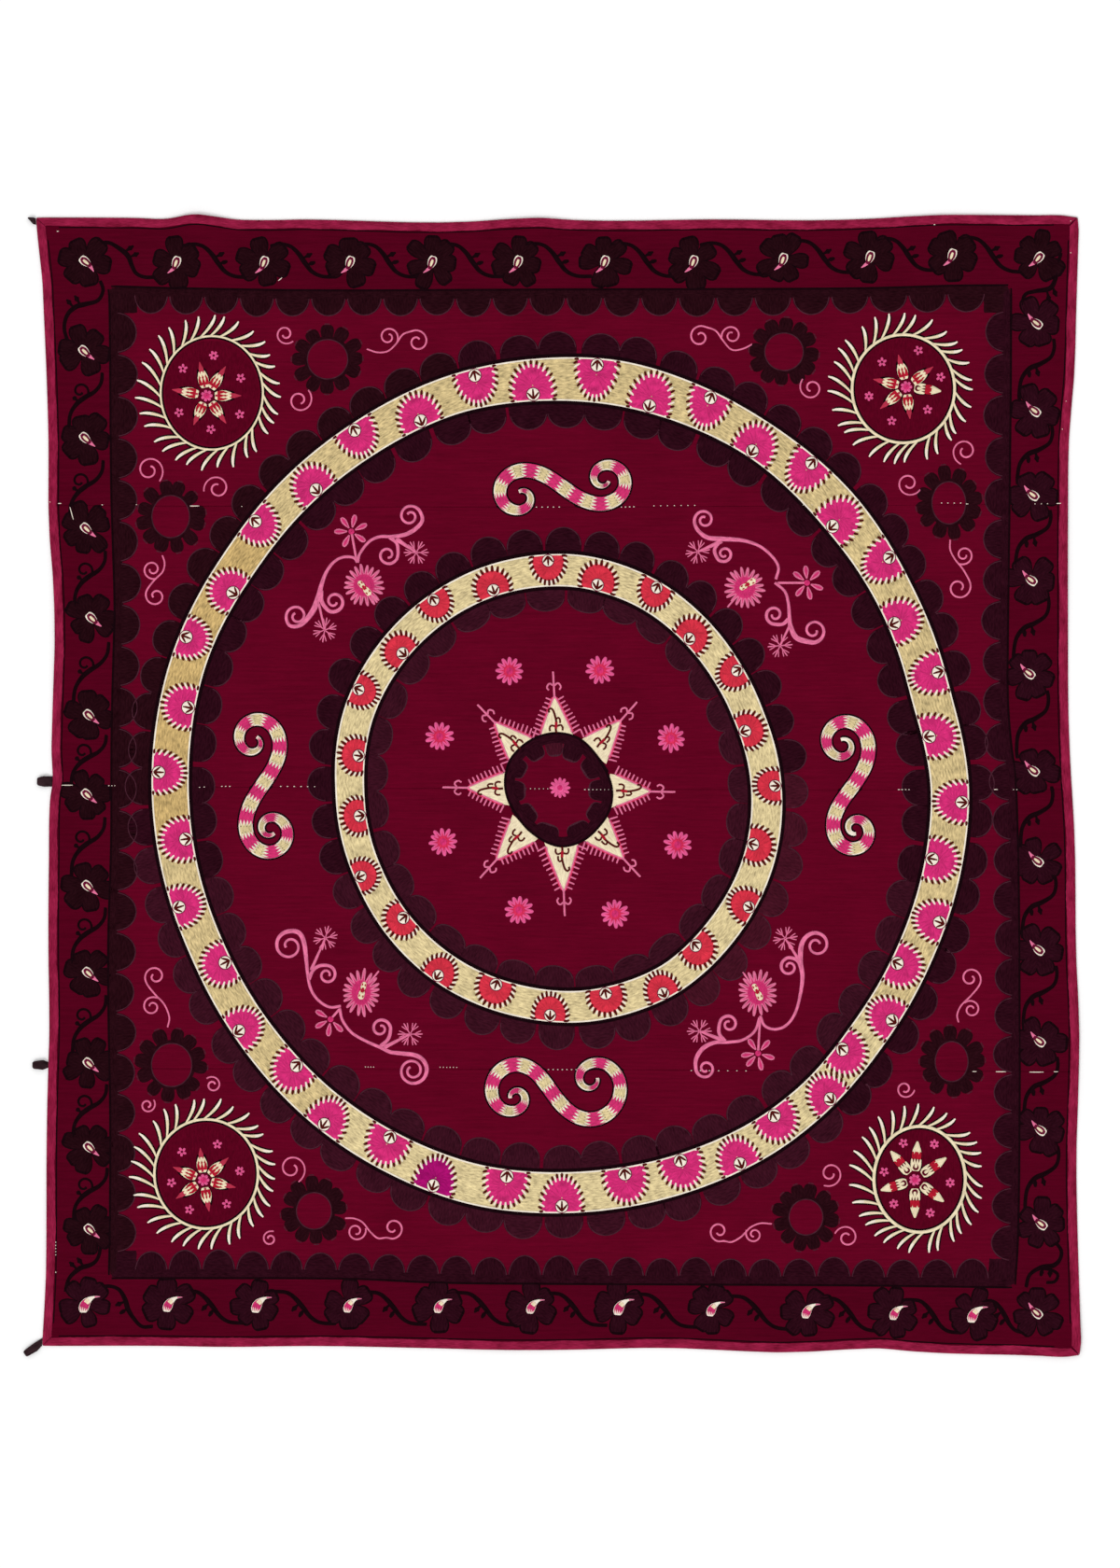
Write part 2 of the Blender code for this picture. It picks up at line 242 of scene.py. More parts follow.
OUTER_FANS = fans_of(
    OUT, 178.2, 168.3, 158.5, 149.7, 139.3, 129.8, 120.3, 111.2, 102, 94.2, 85.2, 77, 69, 60.3, 52.2,
    43.7, 34.8, 25.9, 16.7, 7.5, -2.5, -11.3, -20, -28, -35.5, -43.3, -49.5, -57.3, -64.8, -72.5,
) + fans_of(
    IN, -80.8, -90, -98, -107.8, -116, -125, -133.4, -142.7, -152.2, -162.3, -171.8,
)
PURPLE_FAN = -107.8
FAN_MIDDLE = 8.5
INNER_FANS = fans_of(
    IN, 171, 154, 139.5, 124, 108.6, 93, 79.5, 64.2, 49, 33.5, 17, 0.5, -16.3, -32.3, -49.3, -63.3,
    -77.5, -92.5, -108, -123, -140.3, -156, -172,
)

# How sharply half a scroll bends, at even steps from its middle to its tip, as shares of its mean bend
EVEN_WINDING = (0, 0.5, 1.0, 1.15, 2.8)
EARLY_WINDING = (0, 0.75, 0.7, 1.1, 2.9)
SCROLL_HALF = 7.3
STRIPE_PITCH = 14.0

# Scrolls: middle and heading, then the length of each half and how far it turns on its way out
SCROLLS = table(
    Scroll,
    (603, 522, -36, 152, 410, 158, 450, EVEN_WINDING),
    (282, 840, 55, 184, 510, 162, 440, EVEN_WINDING),
    (910, 847, 53, 152, 480, 182, 490, EVEN_WINDING),
    (589, 1167, -55, 170, 500, 208, 505, EARLY_WINDING),
)

STEMS = table(
    Stem,
    (1.8, 2.7, 0.45, 1.6, 1.35, 439.2, 553, ((383, 603), (386, 592.5), (396, 580), (407.5, 575),
     (420, 575), (435, 572.5), (446, 566), (452.5, 557.5), (450, 548))),
    (2.2, 2.0, 0.2, 1.5, -1.3, 415.5, 594.5, ((417, 575.5), (425, 582), (426.5, 592))),
    (1.8, 3.6, 0.45, 1.6, -1.35, 318, 660, ((383, 603), (379, 597.5), (367.5, 597), (357.5, 602.5),
     (350, 612.5), (345, 625), (341, 640), (335, 655), (323, 669), (312, 671))),
    (2.8, 2.4, 0.2, 1.5, 1.3, 358, 644.5, ((344, 632), (345, 645), (352.5, 654.5))),
    (1.8, 3.0, 0.5, 1.6, -1.35, 754.6, 557, ((831, 621), (834, 608), (827, 596), (813.4, 585), (795, 579),
     (773.6, 577.5), (758, 576), (747.5, 568), (744, 559))),
    (2.4, 2.0, 0.2, 1.5, 1.3, 776, 593.4, ((772, 579), (765.5, 589), (769, 599))),
    (1.8, 3.4, 0.45, 1.6, 1.35, 871.6, 675.6, ((830, 624), (841, 634), (844.6, 646.5), (845.6, 658.7),
     (847, 671), (853, 683), (865.5, 687.5))),
    (2.4, 2.0, 0.2, 1.5, -1.3, 829.9, 658.7, ((845, 663), (839, 668.5), (831, 669))),
    (1.8, 3.0, 0.5, 1.6, 1.35, 310.4, 1013.5, ((365.5, 1078), (352.7, 1078.8), (340.5, 1071),
     (332.8, 1058.9), (329.7, 1043.6), (328.2, 1028), (325.7, 1009.8), (321, 1000), (313, 997.5))),
    (2.4, 2.0, 0.2, 1.5, -1.3, 350.3, 1044.5, ((330.5, 1050), (335.9, 1039), (343.5, 1034.5),
     (352.7, 1034.8))),
    (1.8, 2.8, 0.45, 1.6, -1.9, 442, 1147, ((364, 1080), (367, 1093), (377, 1106.4), (392.6, 1115.6),
     (407.9, 1122.3), (418, 1127), (430, 1128.5), (444.6, 1130.5))),
    (2.4, 2.0, 0.2, 1.5, 1.3, 407.9, 1101.8, ((407, 1121.5), (416, 1113), (418.5, 1102))),
    (1.8, 3.2, 0.55, 1.6, -1.35, 874.8, 1012.5, ((814.6, 1088), (819, 1098.7), (830, 1102.7),
     (842, 1098.7), (851.4, 1086.5), (856.9, 1068), (859.7, 1046.6), (857.5, 1029.8), (858.5, 1012.9),
     (864, 1003.5))),
    (2.4, 2.0, 0.2, 1.5, 1.3, 845.5, 1036, ((859.5, 1041), (854.5, 1029.5), (846, 1026))),
    (1.8, 2.8, 0.5, 1.6, 1.35, 756, 1144.7, ((814, 1090), (808.5, 1104.8), (796, 1114), (781, 1116.5),
     (765.6, 1117), (753.3, 1123), (746, 1134), (745.5, 1145))),
    (2.4, 2.0, 0.2, 1.5, -1.3, 780.9, 1097.2, ((777, 1116), (770.5, 1107), (771, 1096))),
)
FLAKES = table(
    Flake,
    (446, 592, 0, 424, 577, 2.6), (348, 675, 20, 341.5, 646, 1.4), (747.5, 591.3, 10, 774, 579.5, 2.6),
    (835.8, 691.8, 5, 847, 668, 1.4), (348.7, 1005, 15, 333, 1040, 1.8),
    (439.4, 1107.9, 0, 410, 1123, 2.4), (841.3, 1005.5, 10, 857.5, 1031, 1.8),
    (749.3, 1104.8, 0, 776, 1115, 2.6),
)
BLOOMS = table(
    Bloom,
    (376.5, 569.5, 382, 600, (77, 25, -36, -118, 180, 126)),
    (864.6, 624.4, 832, 624.5, (95, 42, -22, -78, -130, 142)),
    (354.2, 1092, 364, 1081, (150, 208, 262, 314)),
    (812.2, 1128.4, 814.3, 1091, (48, -18, -78, -132, 188, 124)),
)
THISTLES = table(
    Thistle,
    (390, 627, 22, 23, ((387, 626), (393.7, 633.7)), 404.5, 646),
    (798, 629.6, 22, 22.5, ((795.5, 629.6), (806, 623)), 779, 651),
    (387, 1063.5, 20, 26, ((390, 1055), (387, 1067)), 406.3, 1039.9),
    (811.6, 1063.5, 21, 25, ((807.9, 1056), (814.6, 1069)), 794.7, 1039.9),
)

WREATHS = table(
    Wreath,
    (227, 421, 56, 62, 221.5, 424, (102, 57, 0, -55, -114, 170), ((229, 381), (196, 395), (258, 405),
     (192, 442), (257, 444), (226, 460)), 1.2, 37, ()),
    (967.8, 416.6, 56.6, 59.6, 971, 414.6, (104, 37, -7, -83.5, 220, 167), ((945, 388), (984, 375.5),
     (1007.7, 404), (993.8, 439), (955.4, 451), (931, 424.6)), 1.65, 37, (-7,)),
    (221, 1257.7, 57, 60, 218.2, 1264.2, (96, 42, -13, -80, 214, 157), ((195, 1234), (233, 1226),
     (257, 1254.6), (243, 1290), (203, 1296), (183.7, 1267)), 1.5, 35.5, ()),
    (985.2, 1263.4, 50.8, 58.5, 980.1, 1264, (86, 35, -37, -90, 197, 130), ((967.8, 1224.6),
     (1001, 1225.7), (1018, 1267), (996.6, 1299.4), (957.6, 1289.6), (947.3, 1255.3)), 1.85, 41, (86, 35,
     -37, -90, 197, 130)),
)

# Layers of a wreath flower's two kinds of petal: a pale one in a black outline with a toothed red band
# near its root and a pointed tip, and one with a dark arch near its root and the band in its middle.
# Each layer lies once on the petal's line, or so many pixels aside of it.
MIDLINE = (0.0,)
POINTED_PETAL = table(
    Layer,
    ("black", MIDLINE, 6.5, 36, 7.6, LOW, (0.55, 0.92, 1.0, 0.95, 0.75, 0.35)),
    ("ivory", MIDLINE, 8.0, 32, 6.0, MIDDLE, (0.5, 0.88, 1.0, 0.95, 0.7, 0.25), BAND),
    ("red", MIDLINE, 12.5, 20.6, 5.3, HIGH, (0.95, 1.0, 1.0, 0.95), OVER),
    ("red", (-3.3, 0.0, 3.3), 19.5, 24.4, 1.25, HIGH, SPEAR, OVER),
    ("ivory", (-1.8, 1.8), 21.5, 15.6, 1.1, HIGH + 0.2, SPEAR, OVER),
    ("brick", MIDLINE, 26, 41, 3.2, MIDDLE - 0.1, SPEAR),
    ("brick", (-1.8, 1.8), 30.0, 26.0, 0.9, HIGH, SPEAR, OVER),
    ("brick", MIDLINE, 10.0, 13.4, 1.2, HIGH, TOOTH, OVER),
)
BANDED_PETAL = table(
    Layer,
    ("black", MIDLINE, 6.5, 40, 7.8, LOW, (0.6, 1.0, 1.0, 0.85, 0.8, 0.6, 0.25)),
    ("ivory", MIDLINE, 8.0, 24.0, 6.0, MIDDLE, (0.45, 0.9, 1.0, 0.98, 0.85), BAND),
    ("ivory", MIDLINE, 26.5, 41, 5.4, MIDDLE, (1.0, 0.9, 0.66, 0.38, 0.08), BAND),
    ("red", MIDLINE, 21.5, 29.0, 5.2, HIGH, (0.95, 1.0, 1.0, 0.95), OVER),
    ("plum", MIDLINE, 10.0, 16.5, 3.2, HIGH, PIP, OVER),
    ("ivory", MIDLINE, 12.4, 17.0, 1.5, HIGH + 0.25, TOOTH, OVER),
    ("plum", (-3.0, 0.0, 3.0), 22.0, 17.6, 0.8, HIGH, SPEAR, OVER),
    ("ivory", (-2.6, 2.6), 31.0, 27.0, 1.0, HIGH + 0.25, SPEAR, OVER),
)

CURLS = table(
    Curl,
    (314.5, 365.5, 305.8, 358, -1), (330, 417.3, 320.8, 428.8, -1), (170.7, 516, 160, 503.6, 1),
    (218.4, 527, 232.9, 523.2, -1), (860.7, 405, 869.6, 415.7, 1), (1029.8, 497.6, 1034, 483.3, -1),
    (986.3, 524.3, 973.5, 518, -1), (221, 1155.6, 228, 1162.4, -1), (164.8, 1178, 158, 1184, -1),
    (319, 1267, 312.5, 1251.7, 1), (293.7, 1319.4, 289.4, 1327.2, 1), (980, 1167.4, 969.4, 1166.6, -1),
    (882.3, 1269.9, 889.4, 1257.3, 1), (894.2, 1321.9, 907.2, 1325.8, -1),
)
PAIRS = table(
    Pair,
    (((392.7, 373.8), (404, 377.5), (415, 376.5), (424, 369), (431, 359), (439, 355.5)), 447, 366, -1,
     425, 368, 416, 361, 1),
    (((806.5, 368.6), (795, 374), (783.5, 374.5), (774, 364), (767, 354.5), (758, 351)), 750, 361, 1, 773,
     362, 784, 359.5, -1),
    (((369.5, 1305), (380, 1305.5), (389, 1310), (397, 1320), (405, 1326.5), (414, 1326)), 421, 1315.5, 1,
     392, 1315.5, 381.5, 1319, -1),
    (((827.3, 1311.3), (815, 1310.5), (804, 1315), (794, 1325), (784, 1330.5), (776, 1329.5)), 770.5,
     1319, -1, 800, 1317.5, 808, 1322.5, 1),
    (((174, 594.7), (176.5, 604), (174, 613), (166, 621), (159.5, 629)), 167, 638.5, 1, 168, 620, 163.5,
     610, -1),
    (((1018, 578), (1018, 589), (1023, 599), (1031, 609), (1037.5, 620)), 1027, 629.5, -1, 1027, 604,
     1032.5, 594.5, 1),
    (((179.4, 1101), (181.5, 1090), (176, 1076), (165, 1064), (157.5, 1054)), 166.5, 1046, -1, 169.5,
     1069.5, 163, 1078.5, 1),
    (((1027, 1095.7), (1025.5, 1087), (1030, 1077), (1041, 1066), (1049.5, 1055)), 1039.5, 1048, 1, 1033,
     1074.5, 1040.5, 1081.5, -1),
)

ROSETTES = table(
    Rosette,
    (351, 385, 21.5, 21), (183, 553.5, 20, 22.5), (840, 377, 20.5, 20), (1016.5, 538.8, 18, 22.5),
    (184, 1141, 21.5, 23), (336.5, 1297.3, 18.7, 19.5), (863.5, 1304, 18, 19),
    (1019.5, 1137.3, 17.5, 21.3),
)

STAR = (599.5, 846)
STAR_HEART = (600, 844)
STAR_TIPS = (
    (697, 848), (665, 772), (594, 746), (530, 774),
    (501, 844), (532, 921), (604, 955), (668, 920),
)
STAR_RADIUS = 58.5
STAR_POINT_HALF = 20.0
STAR_POINT_CURVE = 0.94
SPIKE_LENGTH = 10.8
SPIKE_LEAN = 64
STAR_RING = Ring(599.5, 846, table(
    Edge,
    (0, 46, 57), (14, 45, 55), (30, 43, 53.5), (48, 44, 55), (70, 48, 59.5), (93, 50, 61.5),
    (130, 51, 62), (150, 51, 62.5), (174, 48, 59.5), (190, 46, 57), (213, 43, 53.5), (242, 45, 56),
    (272, 51, 62), (293, 50, 61), (316, 47, 58.5), (341, 47, 58.5),
))
# Where each lobe inside the star's ring points, and how near to the middle it reaches
STAR_LOBES = (
    (97, 36), (123, 39), (153, 41), (182, 36.5), (217, 34), (253, 38.5), (295, 39.5), (328, 37),
    (359, 31), (394, 31), (431, 32),
)
STAR_ROSETTES = (
    (546, 719), (643, 718), (471, 789), (719, 791),
    (475, 902), (726, 905), (556, 975), (659, 979),
)

# Places of the drops along the four sides, in whole pixels, and the line that each side follows, whose
# points name the place along the side first
TOP_DROPS = drops_across((189, 283, 375, 463, 555, 648, 743, 839, 932, 1020),
                         ((189, 281), (742, 280), (1020, 273)))
BOTTOM_DROPS = drops_across((180, 275, 373, 470, 569, 663, 762, 864, 958, 1042),
                            ((180, 1397), (660, 1400), (1042, 1408)))
LEFT_DROPS = drops_down((376, 469, 566, 662, 766, 851, 949, 1042, 1139, 1229, 1317),
                        ((376, 90), (566, 92), (662, 98), (851, 93), (1317, 96)))
RIGHT_DROPS = drops_down((347, 441, 531, 622, 722, 826, 923, 1018, 1116, 1211, 1312),
                         ((347, 1111), (722, 1103), (923, 1112), (1312, 1116)))
CORNER_DROPS = ((91, 280), (1113, 276), (90.5, 1397), (1111, 1407))

# The vine between two drops: share of the way along, and pixels off the line between them
TOP_VINE = (
    (0.06, -17), (0.2, -19), (0.31, -16.5), (0.4, -9), (0.48, 1.5), (0.56, 10.5), (0.68, 15.5), (0.86, 16),
)
BOTTOM_VINE = (
    (0.06, -13), (0.2, -14), (0.33, -13), (0.42, -7), (0.5, 2), (0.59, 13), (0.7, 19), (0.88, 20),
)
LEFT_VINE = ((0.24, 19.5), (0.37, 18), (0.47, 11), (0.54, 0), (0.62, -9), (0.74, -15.5), (0.92, -17))
RIGHT_VINE = (
    (0.16, 18), (0.27, 19), (0.38, 15.5), (0.46, 4), (0.51, -7), (0.62, -15), (0.78, -17.5), (0.88, -17),
)
CORNER_VINES = (
    ((96, 264), (107, 261), (116, 260), (126, 265), (137, 274),
     (141.5, 285), (146, 293), (155, 297), (167, 297)),
    ((107, 300), (110.5, 311), (105, 322), (91.5, 326), (81, 329),
     (72, 338), (69, 352), (73, 367)),
    ((1137, 270), (1133, 285), (1131, 298), (1125, 309), (1110, 312),
     (1098, 316), (1095, 330)),
    ((1130, 1330), (1137, 1340), (1135, 1350), (1128, 1356), (1115, 1358),
     (1103, 1366), (1099, 1380)),
    ((108, 1335), (106, 1345), (102, 1352), (95, 1356), (87, 1358),
     (78, 1365), (73, 1372), (70, 1385)),
    ((105, 1379), (118, 1378), (128, 1382), (134, 1392), (137, 1402),
     (143, 1412), (152, 1421), (165, 1421)),
)

CORNER_WAYS = (1, -1, 1, 1, -1, -1)

# Layers of the straighter kind of pale drop, from its head to its tail
DROP_LAYERS = table(
    Layer,
    ("black", MIDLINE, 8.5, -12, 6.4, LOW + 0.2, DROP, CORD, 1),
    ("pink", MIDLINE, -3, -16, 2.7, MIDDLE, SPEAR, CORD, 1.6),
    ("white", MIDLINE, 7.2, -7.4, 4.9, HIGH, PIP, BAND),
    ("maroon", MIDLINE, 5.2, -8.4, 3.7, HIGH + 0.25, PIP, OVER),
    ("ivory", MIDLINE, 2.2, -5.2, 1.4, HIGH + 0.5, TOOTH, OVER),
)

# Half widths of a curved pale drop by share of its length
PAISLEY_WIDTHS = (
    (0, 2.4), (0.07, 4.4), (0.16, 5.6), (0.3, 5.8), (0.46, 4.8), (0.6, 3.0), (0.75, 1.4), (1, 0.5),
)
CORNER_CURL = ((1112, 1359), (1124, 1360), (1133, 1365), (1130, 1373), (1120, 1374))

# Rows of lobes that point inwards from the border's inner line
HEMS = table(
    Hem,
    (((1082, 307), (1020, 307.5), (900, 310.5), (600, 311.5), (360, 312.5), (205, 310.5), (117.5, 308)),
     42, 37.5, 27.5, 4, "soot"),
    (((117.5, 308), (119, 340), (120.5, 520), (124, 640), (123, 700), (121, 780), (120.5, 900),
     (117.5, 1000), (117.5, 1080), (119.5, 1200), (119, 1320), (118, 1368)), 45, 42.5, 27.5, 3, "soot"),
    (((118, 1368), (360, 1368.5), (460, 1372.5), (560, 1374), (900, 1375.7), (1086, 1378)), 36, 37, 28.5,
     4, "aubergine"),
    (((1086, 1378), (1089.5, 1320), (1091, 1200), (1091, 1080), (1090, 940), (1087, 840), (1082, 797),
     (1078.5, 750), (1078.5, 680), (1080, 560), (1081.5, 420), (1082, 307)), 40, 45, 27, 3, "aubergine"),
)
HEM_CORNER = 26.0

# Colours of the ground cloth, and of its binding and loops: the dark tone of their tape and a paler one
# mixed into it in streaks, which on the binding is a painted highlight
GROUND_COLOUR = "5d041e"
BINDING_AND_HIGHLIGHT_COLOURS = ("620a22", "a6244c")
LOOP_COLOURS = ("170c0f", "3c2a2e")

# Inner edges of the darker border strip, and what it multiplies the ground's colour by
STRIP_SHADE = (0.7, 0.65, 0.75, 1)
STRIP_LEFT = 127
STRIP_RIGHT = 1075.5
STRIP_TOP = 318
STRIP_BOTTOM = 1366
STRIP_BLUR = 6

# Tacking in white thread: ends of each row, how many stitches it has and how long they are
TACKING = table(
    Dashes,
    (62, 539.5, 66, 539.5, 1, 4), (74.4, 541, 79, 558, 1, 19), (109, 541, 147, 540.7, 2, 1.4),
    (201.7, 542.2, 215, 542.2, 1, 13), (258.5, 542.6, 259.5, 542.6, 1, 1.4),
    (574, 543.3, 600, 543.3, 5, 1.5), (665, 543.3, 680, 543, 4, 1.6), (700, 542, 745, 541.5, 7, 1.3),
    (860, 541, 880, 540.8, 3, 1.3), (1008, 539, 1030, 539, 4, 1.5), (1034, 540, 1038, 540, 1, 4),
    (1108, 540, 1123, 539.8, 3, 1.6), (1131, 539.6, 1138.5, 539.4, 1, 7.5),
    (65, 841.3, 81, 841.3, 1, 15), (116, 841.8, 124, 841.8, 3, 1.6), (213, 843.6, 220, 843.2, 2, 2),
    (237, 842.5, 247, 842.5, 3, 1.6), (300, 842.5, 338, 842.8, 6, 1.8), (568, 845, 592, 845.2, 6, 1.0),
    (626, 846, 657, 846, 8, 1.5), (962, 846, 975, 846, 4, 2.2), (1064, 845.9, 1070, 845.9, 1, 5.5),
    (1085, 846, 1090, 846, 2, 1.5), (391, 1143, 401, 1143.2, 4, 1.2), (471, 1143.4, 490, 1143.6, 6, 1.2),
    (587, 1145.9, 628, 1145.9, 9, 1.5), (740, 1147, 800, 1147.3, 7, 1.4), (1041, 1148, 1047, 1148, 1, 6),
    (1067, 1148.2, 1078, 1148.2, 1, 11), (1103, 1148.6, 1118, 1148.6, 1, 15),
    (1129, 1148.2, 1134, 1148.2, 1, 5), (298, 301, 303, 297, 1, 6),
)
BINDING_TACKING = table(
    Dashes,
    (52.5, 538, 55, 538, 1, 2.6), (61, 248, 63, 248, 1, 2.2), (1000, 241, 1002, 241, 1, 2),
    (1142, 429, 1142, 431, 1, 2), (1138, 459, 1138, 461, 1, 2), (1147, 236, 1147, 238, 1, 2),
    (1147, 270, 1147, 272, 1, 2), (60, 1330, 60, 1345, 5, 1.5), (60, 1362, 60, 1364, 1, 1.8),
)

# Colours as the eye sees them, how uneven each thread is, and its shine
THREADS = {
    "black": Thread("120509", 0.25, 0.02),
    "aubergine": Thread("280914", 0.3, 0.02),
    "soot": Thread("230910", 0.3, 0.02),
    "dusk": Thread("1f080e", 0.3, 0.02),
    "wine": Thread("350f1c", 0.28, 0.02),
    "mulberry": Thread("3f111f", 0.25, 0.03),
    # Paler grey painted as a highlight along the rims of the dark lobes, rosettes and star ring
    "slate": Thread("43202c", 0.25, 0.03),
    "cream": Thread("cbb583", 0.28, 0.1),
    "ivory": Thread("edd8b6", 0.14, 0.1),
    "white": Thread("f3e3d3", 0.1, 0.12),
    "magenta": Thread("cb2c70", 0.2, 0.1),
    "purple": Thread("a10f68", 0.2, 0.1),
    "maroon": Thread("641130", 0.22, 0.05),
    "coral": Thread("cc3042", 0.2, 0.1),
    "red": Thread("a8182c", 0.2, 0.06),
    "umber": Thread("4e1210", 0.2, 0.05),
    "straw": Thread("c3a56c", 0.28, 0.1),
    "pale": Thread("d8c292", 0.26, 0.1),
    "pink": Thread("e07096", 0.2, 0.1),
    "rose": Thread("c8306a", 0.2, 0.1),
    "brick": Thread("b03048", 0.2, 0.08),
    "candy": Thread("e4588e", 0.2, 0.1),
    "raspberry": Thread("d42f58", 0.2, 0.1),
    "plum": Thread("54041b", 0.15, 0.02),
}


def photo_to_cloth(points):
    """Metres on the cloth for points in photo pixels."""
    points = np.asarray(points, float)
    x = (points[..., 0] - MIDDLE_X) * PX
    y = (MIDDLE_Y - points[..., 1]) * PX
    return x, y


def linear(code):
    """Linear red, green and blue of a colour written as the eye sees it."""
    parts = [int(code[k:k + 2], 16) / 255 for k in (0, 2, 4)]
    return tuple(p / 12.92 if p <= 0.04045 else ((p + 0.055) / 1.055) ** 2.4 for p in parts)


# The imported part: the lie of its cloth and its outline

PANELS = ("panel_1", "panel_2", "panel_3", "panel_4")
LOOPS = ("hanging_loop_1", "hanging_loop_2", "hanging_loop_3", "hanging_loop_4")


def tree_of(names):
    """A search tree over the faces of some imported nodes."""
    points = []
    faces = []
    for name in names:
        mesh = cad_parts[name].data
        start = len(points)
        points.extend(corner.co.copy() for corner in mesh.vertices)
        faces.extend([start + k for k in face.vertices] for face in mesh.polygons)
    return BVHTree.FromPolygons(points, faces)


def soften(values, times, axis):
    """Smooth values along an axis, keeping the ends."""
    count = values.shape[axis]
    for _ in range(times):
        padded = np.concatenate([np.take(values, [0], axis), values, np.take(values, [-1], axis)], axis)
        before = np.take(padded, range(count), axis)
        after = np.take(padded, range(2, count + 2), axis)
        values = 0.25 * before + 0.5 * values + 0.25 * after
    return values


def seam_height(seam, x):
    """The height of a seam on the cloth at a distance to the right."""
    return (seam.height - seam.fall * x + seam.bow * x * x) * MM


def creased(x, y):
    """How far the creases, and the puckers along the seams, raise the cloth."""
    ripple = np.sin(x / 0.071 + 2 * np.sin(y / 0.13)) * np.sin(y / 0.083 + np.sin(x / 0.19))
    raised = RIPPLE_HEIGHT * ripple
    for crease in CREASES:
        turn = math.radians(crease.toward)
        ahead = (x / MM - crease.x) * math.cos(turn) + (y / MM - crease.y) * math.sin(turn)
        beside = (y / MM - crease.y) * math.cos(turn) - (x / MM - crease.x) * math.sin(turn)
        beside = beside + 9 * np.sin(ahead / 61)
        fade = np.clip(1 - (ahead / crease.reach) ** 2, 0, 1) ** 2
        raised = raised + crease.height * fade * np.exp(-(beside / crease.width) ** 2)
    for k, seam in enumerate(SEAMS):
        away = (y - seam_height(seam, x)) / PUCKER_REACH
        pucker = np.sin(x / 0.0093 + 1.7 * np.sin(x / 0.037 + k)) * (0.6 + 0.4 * np.sin(x / 0.11 + k))
        raised = raised + PUCKER_HEIGHT * pucker * np.exp(-away ** 2)
    return raised * MM


def read_heights():
    """The panels' upper face on an even grid, with gaps filled, facets smoothed and creases added."""
    tree = tree_of(PANELS)
    low, high = cad_box
    xs = np.arange(low.x, high.x + HEIGHT_STEP, HEIGHT_STEP)
    ys = np.arange(low.y, high.y + HEIGHT_STEP, HEIGHT_STEP)
    heights = np.full((len(xs), len(ys)), np.nan)
    for i, x in enumerate(xs):
        for j, y in enumerate(ys):
            hit = tree.ray_cast((x, y, 0.1), (0, 0, -1))[0]
            if hit is not None:
                heights[i, j] = hit.z
    while np.isnan(heights).any():
        padded = np.pad(heights, 1, mode="edge")
        around = np.stack([padded[:-2, 1:-1], padded[2:, 1:-1], padded[1:-1, :-2], padded[1:-1, 2:]])
        known = ~np.isnan(around)
        total = np.where(known, around, 0).sum(0)
        count = known.sum(0)
        fill = np.isnan(heights) & (count > 0)
        heights[fill] = total[fill] / count[fill]
    smooth = soften(soften(heights, 8, 0), 8, 1)
    across, up = np.meshgrid(xs, ys, indexing="ij")
    return xs, ys, smooth + creased(across, up)


GRID_X, GRID_Y, GRID_HEIGHT = read_heights()


def cloth_height(x, y):
    """The height of the cloth's upper face, smooth between the grid's points."""
    u = np.clip((np.asarray(x) - GRID_X[0]) / HEIGHT_STEP, 0, len(GRID_X) - 1.001)
    v = np.clip((np.asarray(y) - GRID_Y[0]) / HEIGHT_STEP, 0, len(GRID_Y) - 1.001)
    i = u.astype(int)
    j = v.astype(int)
    s = u - i
    t = v - j
    low = GRID_HEIGHT[i, j] * (1 - s) + GRID_HEIGHT[i + 1, j] * s
    high = GRID_HEIGHT[i, j + 1] * (1 - s) + GRID_HEIGHT[i + 1, j + 1] * s
    return low * (1 - t) + high * t


def read_outline():
    """The outer edge of each packed binding: x up the sides, y along the top and bottom."""
    low, high = cad_box
    edges = {}
    for name, start, way in (
        ("left", low.x - 0.05, 1),
        ("right", high.x + 0.05, -1),
        ("bottom", low.y - 0.05, 1),
        ("top", high.y + 0.05, -1),
    ):
        tree = tree_of([f"binding_{name}"])
        near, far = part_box(f"binding_{name}")
        upright = name in ("left", "right")
        places = np.linspace(near.y, far.y, 220) if upright else np.linspace(near.x, far.x, 200)
        found = np.full(len(places), np.nan)
        for k, place in enumerate(places):
            hits = []
            for z in np.arange(0.6 * MM, 9 * MM, 0.8 * MM):
                origin = (start, place, z) if upright else (place, start, z)
                hit = tree.ray_cast(origin, (way, 0, 0) if upright else (0, way, 0))[0]
                if hit is not None:
                    hits.append(way * (hit.x if upright else hit.y))
            if hits:
                found[k] = way * min(hits)
        good = ~np.isnan(found)
        filled = np.interp(places, places[good], found[good])
        edges[name] = (places, soften(filled, 2, 0))
    return edges


OUTLINE = read_outline()


def edge(name, place):
    """Where an edge of the piece lies at a place along it."""
    return np.interp(place, *OUTLINE[name])


# Materials

def node(tree, kind, values=(), **settings):
    """A shader node with its settings, and each input set to a value or linked to a socket."""
    made = tree.nodes.new(kind)
    for key, value in settings.items():
        setattr(made, key, value)
    for key, value in dict(values).items():
        if isinstance(value, bpy.types.NodeSocket):
            tree.links.new(value, made.inputs[key])
        else:
            made.inputs[key].default_value = value
    return made


def finish(name, roughness, shine, tint, sheen=0.0):
    """A cloth finish with even gloss, whose colour and weave are added to it."""
    material = bpy.data.materials.new(name)
    material.use_nodes = True
    tree = material.node_tree
    shader = tree.nodes["Principled BSDF"]
    shader.inputs["Roughness"].default_value = roughness
    shader.inputs["Specular IOR Level"].default_value = shine
    shader.inputs["Specular Tint"].default_value = (*tint, 1)
    shader.inputs["Sheen Weight"].default_value = sheen
    shader.inputs["Sheen Roughness"].default_value = 0.5
    shader.inputs["Sheen Tint"].default_value = (*tint, 1)
    return material, tree, shader


